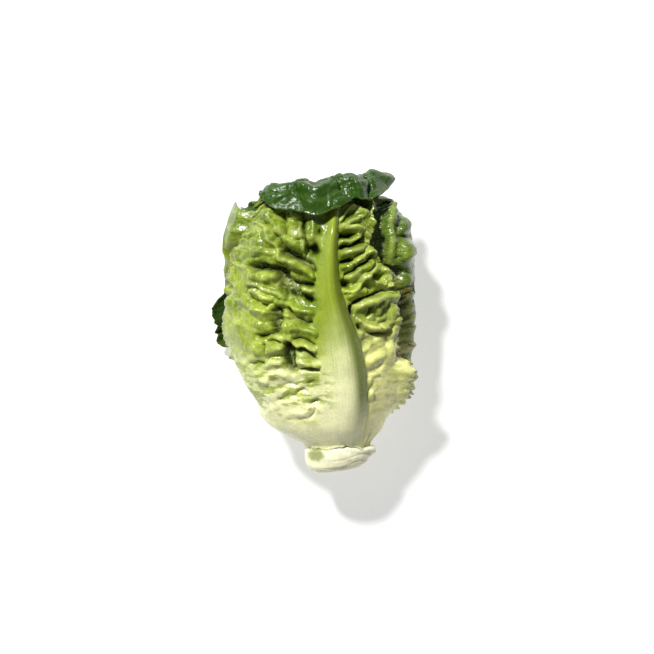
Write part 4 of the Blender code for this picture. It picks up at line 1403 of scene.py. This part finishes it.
def opaque(colour: Colour) -> tuple[float, float, float, float]:
    """The colour with full alpha, as a socket takes it."""
    return (*colour, 1.0)


def new_group(name: str, inputs: dict[str, str], outputs: dict[str, str]) -> tuple[Wiring, Sockets, Sockets]:
    """An empty shader node group with its sockets.

    Args:
        name: the group's name.
        inputs: socket types by socket name.
        outputs: socket types by socket name.

    Returns:
        The group's wiring, the sockets of what it is given, and the sockets of what it puts out.
    """
    tree = bpy.data.node_groups.new(name, "ShaderNodeTree")
    for in_out, sockets in (("INPUT", inputs), ("OUTPUT", outputs)):
        for socket, kind in sockets.items():
            tree.interface.new_socket(name=socket, in_out=in_out, socket_type=f"NodeSocket{kind}")
    wiring = Wiring(tree)
    return wiring, wiring.add("NodeGroupInput").outputs, wiring.add("NodeGroupOutput").inputs


@dataclass(frozen=True)
class LeafTint:
    """The colours of one kind of leaf, from foot to tip, and how glossy it is."""

    name: str
    foot: Colour
    middle: Colour
    top: Colour
    rib_foot: Colour
    rib_top: Colour
    vein: Colour
    # painted shade for hollows and deep folds, partly a deeper green
    hollow: Colour
    inner: Colour
    straw: Colour
    # painted shade on the midrib's right flank; the midrib's darker streaks use it too
    flank: Colour
    browning: float  # how much of the margins has turned brown
    roughness: float
    subsurface: float


TINT_FIELDS = ("foot", "middle", "top", "rib_foot", "rib_top", "vein", "hollow", "inner", "straw", "flank")
FRONT_TINT = LeafTint(
    name="front_leaf_skin", foot=from_screen(254, 255, 194), middle=from_screen(140, 158, 44),
    top=from_screen(96, 119, 26), rib_foot=from_screen(254, 255, 200), rib_top=from_screen(138, 155, 42),
    vein=from_screen(206, 214, 118), hollow=from_screen(34, 54, 10), inner=from_screen(38, 72, 8),
    straw=from_screen(250, 248, 162), flank=from_screen(98, 112, 28), browning=1.0, roughness=0.25,
    subsurface=0.06,
)
OUTER_TINT = LeafTint(
    name="outer_leaf_skin", foot=from_screen(232, 232, 168), middle=from_screen(134, 153, 48),
    top=from_screen(54, 82, 20), rib_foot=from_screen(238, 238, 188), rib_top=from_screen(136, 154, 58),
    vein=from_screen(166, 184, 86), hollow=from_screen(36, 56, 18), inner=from_screen(38, 64, 22),
    straw=from_screen(206, 200, 128), flank=from_screen(126, 138, 44), browning=0.9, roughness=0.30,
    subsurface=0.06,
)
HEART_TINT = LeafTint(
    name="heart_leaf_skin", foot=from_screen(244, 242, 196), middle=from_screen(222, 222, 122),
    top=from_screen(166, 182, 66), rib_foot=from_screen(244, 243, 204), rib_top=from_screen(212, 216, 130),
    vein=from_screen(236, 236, 170), hollow=from_screen(150, 166, 56), inner=from_screen(150, 170, 60),
    straw=from_screen(222, 222, 150), flank=from_screen(196, 202, 104), browning=0.2, roughness=0.34,
    subsurface=0.15,
)


class Pigments:
    """The head's finishes, with the node groups that they share."""

    BROWN = from_screen(106, 76, 36)
    SPOT_AT = (-0.0005, -0.0662)  # x and y of the green spot on the stem's front
    SPOT_RADII = (0.0072, 0.0044)  # where it starts, and from where it is full

    def __init__(self) -> None:
        """Makes the groups, then a material for each finish."""
        self.mottle = self.mottle_group()
        self.pigment = self.pigment_group()
        self.skin = self.skin_group()
        self.front = self.leaf_material(FRONT_TINT)
        self.outer = self.leaf_material(OUTER_TINT)
        self.heart = self.leaf_material(HEART_TINT)
        self.flesh = self.stem_material()

    def mottle_group(self) -> bpy.types.NodeTree:
        """A group that makes a colour uneven, in broad patches and in fine grain.

        Returns:
            The group's tree.
        """
        w, given, out = new_group("mottle", {"Color": "Color", "Amount": "Float", "Vector": "Vector"},
                                  {"Color": "Color", "Patch": "Float"})
        broad = w.noise(given["Vector"], 90.0, 2.0)
        grain = w.noise(given["Vector"], 900.0, 2.0)
        patch = w.maths("MULTIPLY_ADD", grain, 0.35, w.times(broad, 0.65))
        light = w.span(patch, 0.32, 0.68, 0.70, 1.26)
        shade = w.add("ShaderNodeCombineColor", {0: light, 1: light, 2: light}).outputs[0]
        made = w.mix(given["Amount"], given["Color"],
                     w.mix(1.0, given["Color"], shade, Blend.MULTIPLY))
        w.join(made, out["Color"])
        w.join(patch, out["Patch"])
        return w.tree

    def pigment_group(self) -> bpy.types.NodeTree:
        """A group that colours a leaf by place: foot to tip, veins, midrib, margins and painted shade.

        Returns:
            The group's tree.
        """
        colours = (*(field.replace("_", " ").title() for field in TINT_FIELDS), "Brown")
        w, given, out = new_group("leaf_pigment", {**{c: "Color" for c in colours}, "Browning": "Float"},
                                  {"Color": "Color", "Gloss": "Float"})
        position = w.add("ShaderNodeTexCoord").outputs["Object"]
        height = w.attribute("leaf_height")
        # The green comes in from the foot to the tip, unevenly.
        drift = w.noise(position, 60.0, 3.0)
        climb = w.maths("MULTIPLY_ADD", drift, 0.22, w.maths("ADD", height, -0.11))
        colour = w.mix(w.span(climb, 0.14, 0.44), given["Foot"], given["Middle"])
        # Straw-coloured parts.
        pale = w.times(w.attribute("leaf_pale"), w.span(climb, 0.62, 0.26))
        colour = w.mix(w.times(pale, 0.8), colour, given["Straw"])
        # Green patches on the pale foot, wider than tall.
        wide = w.add("ShaderNodeMapping", {"Vector": position, "Scale": (120.0, 320.0, 120.0)})
        patch = w.times(w.span(w.noise(wide.outputs[0], 1.0, 2.0), 0.47, 0.57), w.span(height, 0.08, 0.20))
        patch = w.times(patch, w.span(height, 0.32, 0.50, 0.85, 0.0))
        patch = w.times(patch, w.span(w.attribute("leaf_pale"), 0.0, 1.0, 1.0, 0.45))
        colour = w.mix(patch, colour, given["Middle"])
        colour = w.mix(w.span(climb, 0.50, 1.02), colour, given["Top"])
        # Darker patches higher up.
        shade = w.times(w.span(w.noise(position, 75.0, 1.0), 0.47, 0.62), w.span(height, 0.34, 0.56))
        colour = w.mix(w.times(shade, 0.75), colour, given["Top"])
        # Hollows and deep folds get painted shade, partly a deeper green, then the veins and their net.
        hollow = w.times(w.attribute("leaf_dip_shade"), w.span(height, 0.10, 0.45, 0.25, 0.85))
        colour = w.mix(hollow, colour, given["Hollow"])
        colour = w.mix(w.times(w.attribute("leaf_deep_shade"), 0.95), colour, given["Hollow"])
        vein = w.times(w.attribute("leaf_vein"), 0.62)
        colour = w.mix(vein, colour, given["Vein"])
        colour = w.mix(w.times(w.attribute("leaf_net"), 0.30), colour, given["Vein"])
        # The inner side.
        inner = w.times(w.attribute("leaf_inner"), w.span(height, 0.12, 0.46))
        inner = w.times(inner, w.span(pale, 0.1, 0.9, 1.0, 0.0))
        colour = w.mix(w.times(inner, 0.95), colour, given["Inner"])
        # The midrib with its streaks, and painted shade on its right flank.
        rib = w.mix(w.span(climb, 0.18, 0.54), given["Rib Foot"], given["Rib Top"])
        grid = w.add("ShaderNodeCombineXYZ", {0: w.attribute("leaf_across"), 1: w.attribute("leaf_along")})
        drawn = w.add("ShaderNodeMapping", {"Vector": grid.outputs[0], "Scale": (900.0, 45.0, 1.0)})
        streak = w.span(w.noise(drawn.outputs[0], 1.0, 4.0, 0.65), 0.44, 0.68)
        rib = w.mix(w.times(streak, w.span(height, 0.0, 0.5, 0.10, 0.34)), rib, given["Flank"])
        colour = w.mix(w.times(w.attribute("leaf_rib"), w.span(height, 0.98, 1.12, 0.92, 0.35)), colour, rib)
        flank = w.times(w.attribute("leaf_flank_shade"), w.span(height, 0.02, 0.22, 0.15, 0.92))
        colour = w.mix(flank, colour, given["Flank"])
        # Browned specks along the margins.
        speck = w.span(w.noise(position, 420.0, 4.0, 0.7), 0.46, 0.58)
        margin = w.times(w.attribute("leaf_margin"), w.times(speck, given["Browning"]))
        colour = w.mix(w.times(margin, w.span(height, 0.95, 0.70)), colour, given["Brown"])
        amount = w.maths("MULTIPLY_ADD", w.attribute("leaf_rib"), -0.4, 0.55)
        mottled = w.add("ShaderNodeGroup", {"Color": colour, "Vector": position, "Amount": amount},
                        node_tree=self.mottle)
        w.join(mottled.outputs["Color"], out["Color"])
        gloss = w.maths("MULTIPLY_ADD", w.attribute("leaf_puff"), -0.10, mottled.outputs["Patch"])
        gloss = w.maths("MULTIPLY_ADD", w.attribute("leaf_inner"), 0.06, gloss)
        w.join(gloss, out["Gloss"])
        return w.tree

    def skin_group(self) -> bpy.types.NodeTree:
        """A group for the leaf's fine relief: a net of the finest veins, fibres on the midrib and pores.

        Returns:
            The group's tree.
        """
        w, _given, out = new_group("leaf_skin", {}, {"Height": "Float"})
        position = w.add("ShaderNodeTexCoord").outputs["Object"]
        vector = w.add("ShaderNodeCombineXYZ", {0: w.attribute("leaf_across"), 1: w.attribute("leaf_along")})
        net = w.add("ShaderNodeTexVoronoi", {"Vector": position, "Scale": 620.0}, feature="DISTANCE_TO_EDGE")
        veins = w.span(net.outputs["Distance"], 0.0, 0.16, 1.0, 0.0)
        crumple = w.noise(position, 330.0, 3.0)
        stretched = w.add("ShaderNodeMapping", {"Vector": vector.outputs[0], "Scale": (1500.0, 60.0, 1.0)})
        fibre = w.noise(stretched.outputs[0], 1.0, 2.0)
        pores = w.span(w.noise(position, 2400.0, 1.0), 0.60, 0.72, 0.0, -0.5)
        rib = w.attribute("leaf_rib")
        blade = w.maths("MULTIPLY_ADD", veins, 0.35, w.times(crumple, 0.9))
        on_rib = w.maths("ADD", w.times(fibre, 0.5), pores)
        height = w.maths("MULTIPLY_ADD", w.maths("SUBTRACT", on_rib, blade), rib, blade)
        w.join(height, out["Height"])
        return w.tree

    @staticmethod
    def principled(name: str) -> tuple[bpy.types.Material, Wiring, bpy.types.Node]:
        """A new material.

        Args:
            name: its name.

        Returns:
            The material, its wiring and its Principled shader.
        """
        material = bpy.data.materials.new(name)
        material.use_nodes = True
        return material, Wiring(material.node_tree), material.node_tree.nodes["Principled BSDF"]

    def leaf_material(self, tint: LeafTint) -> bpy.types.Material:
        """The finish of one kind of leaf.

        Args:
            tint: its colours and gloss.

        Returns:
            The material.
        """
        material, w, shader = self.principled(tint.name)
        colours = {field.replace("_", " ").title(): opaque(getattr(tint, field)) for field in TINT_FIELDS}
        colours["Brown"] = opaque(self.BROWN)
        pigment = w.add("ShaderNodeGroup", {**colours, "Browning": tint.browning}, node_tree=self.pigment)
        skin = w.add("ShaderNodeGroup", node_tree=self.skin)
        bump = w.add("ShaderNodeBump", {"Height": skin.outputs["Height"], "Distance": 0.00035, "Strength": 0.5})
        rough = w.span(pigment.outputs["Gloss"], 0.30, 1.00, tint.roughness - 0.07, tint.roughness + 0.24)
        w.fill(shader, {"Base Color": pigment.outputs["Color"], "Roughness": rough,
                        "Normal": bump.outputs["Normal"], "Subsurface Weight": tint.subsurface,
                        "Subsurface Radius": (0.7, 1.0, 0.3), "Subsurface Scale": 0.003})
        return material

    def stem_material(self) -> bpy.types.Material:
        """The finish of the stem: moist pale flesh, a drier cut face, browned scars and a green spot.

        Returns:
            The material.
        """
        material, w, shader = self.principled("stem_skin")
        position = w.add("ShaderNodeTexCoord").outputs["Object"]
        parts = w.add("ShaderNodeSeparateXYZ", {0: position})
        along = parts.outputs[1]
        colour = w.mix(w.span(along, -0.074, -0.060), from_screen(240, 238, 200), from_screen(246, 246, 216))
        colour = w.mix(w.times(w.attribute("stem_scar"), 0.55), colour, from_screen(186, 176, 104))
        dx = w.maths("SUBTRACT", parts.outputs[0], self.SPOT_AT[0])
        dy = w.maths("SUBTRACT", along, self.SPOT_AT[1])
        away = w.maths("SQRT", w.maths("ADD", w.times(dx, dx), w.times(dy, dy)))
        ragged = w.maths("MULTIPLY_ADD", w.noise(position, 300.0, 3.0), 0.004, away)
        in_front = w.maths("GREATER_THAN", parts.outputs[2], HEAD.axis_height)
        spot = w.times(w.span(ragged, *self.SPOT_RADII), in_front)
        colour = w.mix(w.times(spot, 0.8), colour, from_screen(120, 134, 44))
        brown = w.span(w.noise(position, 260.0, 4.0, 0.7), 0.56, 0.72)
        rim = w.maths("ADD", w.attribute("stem_stub"), w.attribute("stem_face"))
        colour = w.mix(w.times(brown, w.maths("MULTIPLY_ADD", rim, 0.35, 0.10)), colour,
                       from_screen(172, 132, 72))
        mottled = w.add("ShaderNodeGroup", {"Color": colour, "Vector": position, "Amount": 0.35},
                        node_tree=self.mottle)
        rough = w.span(mottled.outputs["Patch"], 0.3, 0.7, 0.30, 0.52)
        stretched = w.add("ShaderNodeMapping", {"Vector": position, "Scale": (700.0, 160.0, 700.0)})
        fibre = w.noise(stretched.outputs[0], 1.0, 4.0)
        bump = w.add("ShaderNodeBump", {"Height": fibre, "Distance": 0.0005, "Strength": 0.7})
        w.fill(shader, {"Base Color": mottled.outputs["Color"], "Roughness": rough,
                        "Normal": bump.outputs["Normal"], "Subsurface Weight": 0.25,
                        "Subsurface Radius": (1.0, 0.9, 0.5), "Subsurface Scale": 0.003})
        return material


@dataclass(frozen=True)
class Studio:
    """A pale floor, a soft key light from the upper left, pale light all round, and the camera above."""

    camera_at: tuple[float, float, float] = (0.0050, -0.0035, 0.9480)
    lens_mm: float = 100.0
    sensor_mm: float = 36.0
    key_way: tuple[float, float, float] = (-0.30, 0.52, 0.80)  # from the head to the light
    key_distance: float = 3.0
    key_size: float = 0.36
    key_watts: float = 138.0
    fill: float = 0.15
    floor_glow: float = 0.56
    floor_size: float = 3.0
    paper: Colour = (0.56, 0.56, 0.555)

    def build(self) -> None:
        """Makes the floor, the lights, the world and the camera."""
        self.floor()
        self.lights()
        data = bpy.data.cameras.new("camera")
        data.lens, data.sensor_width = self.lens_mm, self.sensor_mm
        data.clip_start, data.clip_end = 0.01, 20.0
        camera = bpy.data.objects.new("camera", data)
        camera.location = self.camera_at
        bpy.context.scene.collection.objects.link(camera)
        bpy.context.scene.camera = camera
        bpy.context.scene.view_settings.view_transform = "Standard"

    def floor(self) -> None:
        """Makes the floor, as plain pale paper."""
        half = self.floor_size / 2
        mesh = bpy.data.meshes.new("floor")
        mesh.from_pydata([(-half, -half, 0), (half, -half, 0), (half, half, 0), (-half, half, 0)], [],
                         [(0, 1, 2, 3)])
        material, w, shader = Pigments.principled("floor_paper")
        position = w.add("ShaderNodeTexCoord").outputs["Object"]
        tooth = w.noise(position, 800.0, 3.0)
        shade = w.span(w.noise(position, 6.0, 2.0), 0.3, 0.7)
        colour = w.mix(shade, self.paper, tuple(0.985 * c for c in self.paper))
        bump = w.add("ShaderNodeBump", {"Height": tooth, "Distance": 0.0001, "Strength": 0.3})
        w.fill(shader, {"Base Color": colour, "Normal": bump.outputs["Normal"],
                        "Roughness": w.span(tooth, 0.3, 0.7, 0.75, 0.9), "Emission Color": (1.0, 1.0, 1.0, 1.0),
                        "Emission Strength": self.floor_glow})
        mesh.materials.append(material)
        floor = bpy.data.objects.new("floor", mesh)
        bpy.context.scene.collection.objects.link(floor)

    def lights(self) -> None:
        """Makes the key light and the pale light all round."""
        data = bpy.data.lights.new("key", "AREA")
        data.shape, data.size, data.energy = "DISK", self.key_size, self.key_watts
        key = bpy.data.objects.new("key", data)
        way = Vector(self.key_way).normalized()
        key.location = way * self.key_distance
        key.rotation_mode = "QUATERNION"
        key.rotation_quaternion = way.to_track_quat("Z", "Y")
        bpy.context.scene.collection.objects.link(key)
        world = bpy.data.worlds.new("room")
        world.use_nodes = True
        ground = world.node_tree.nodes["Background"]
        ground.inputs["Color"].default_value = (1.0, 1.0, 0.98, 1.0)
        ground.inputs["Strength"].default_value = self.fill
        bpy.context.scene.world = world


def main() -> None:
    """Builds the head, its finishes and the studio, in order."""
    logging.basicConfig(level=logging.INFO, format="%(name)s: %(message)s")
    pigments = Pigments()
    Head().build(pigments)
    stem = STEM.build(pigments.flesh)
    log.info("%s: %d faces", stem.name, len(stem.data.polygons))
    Studio().build()


if __name__ == "__main__":
    main()
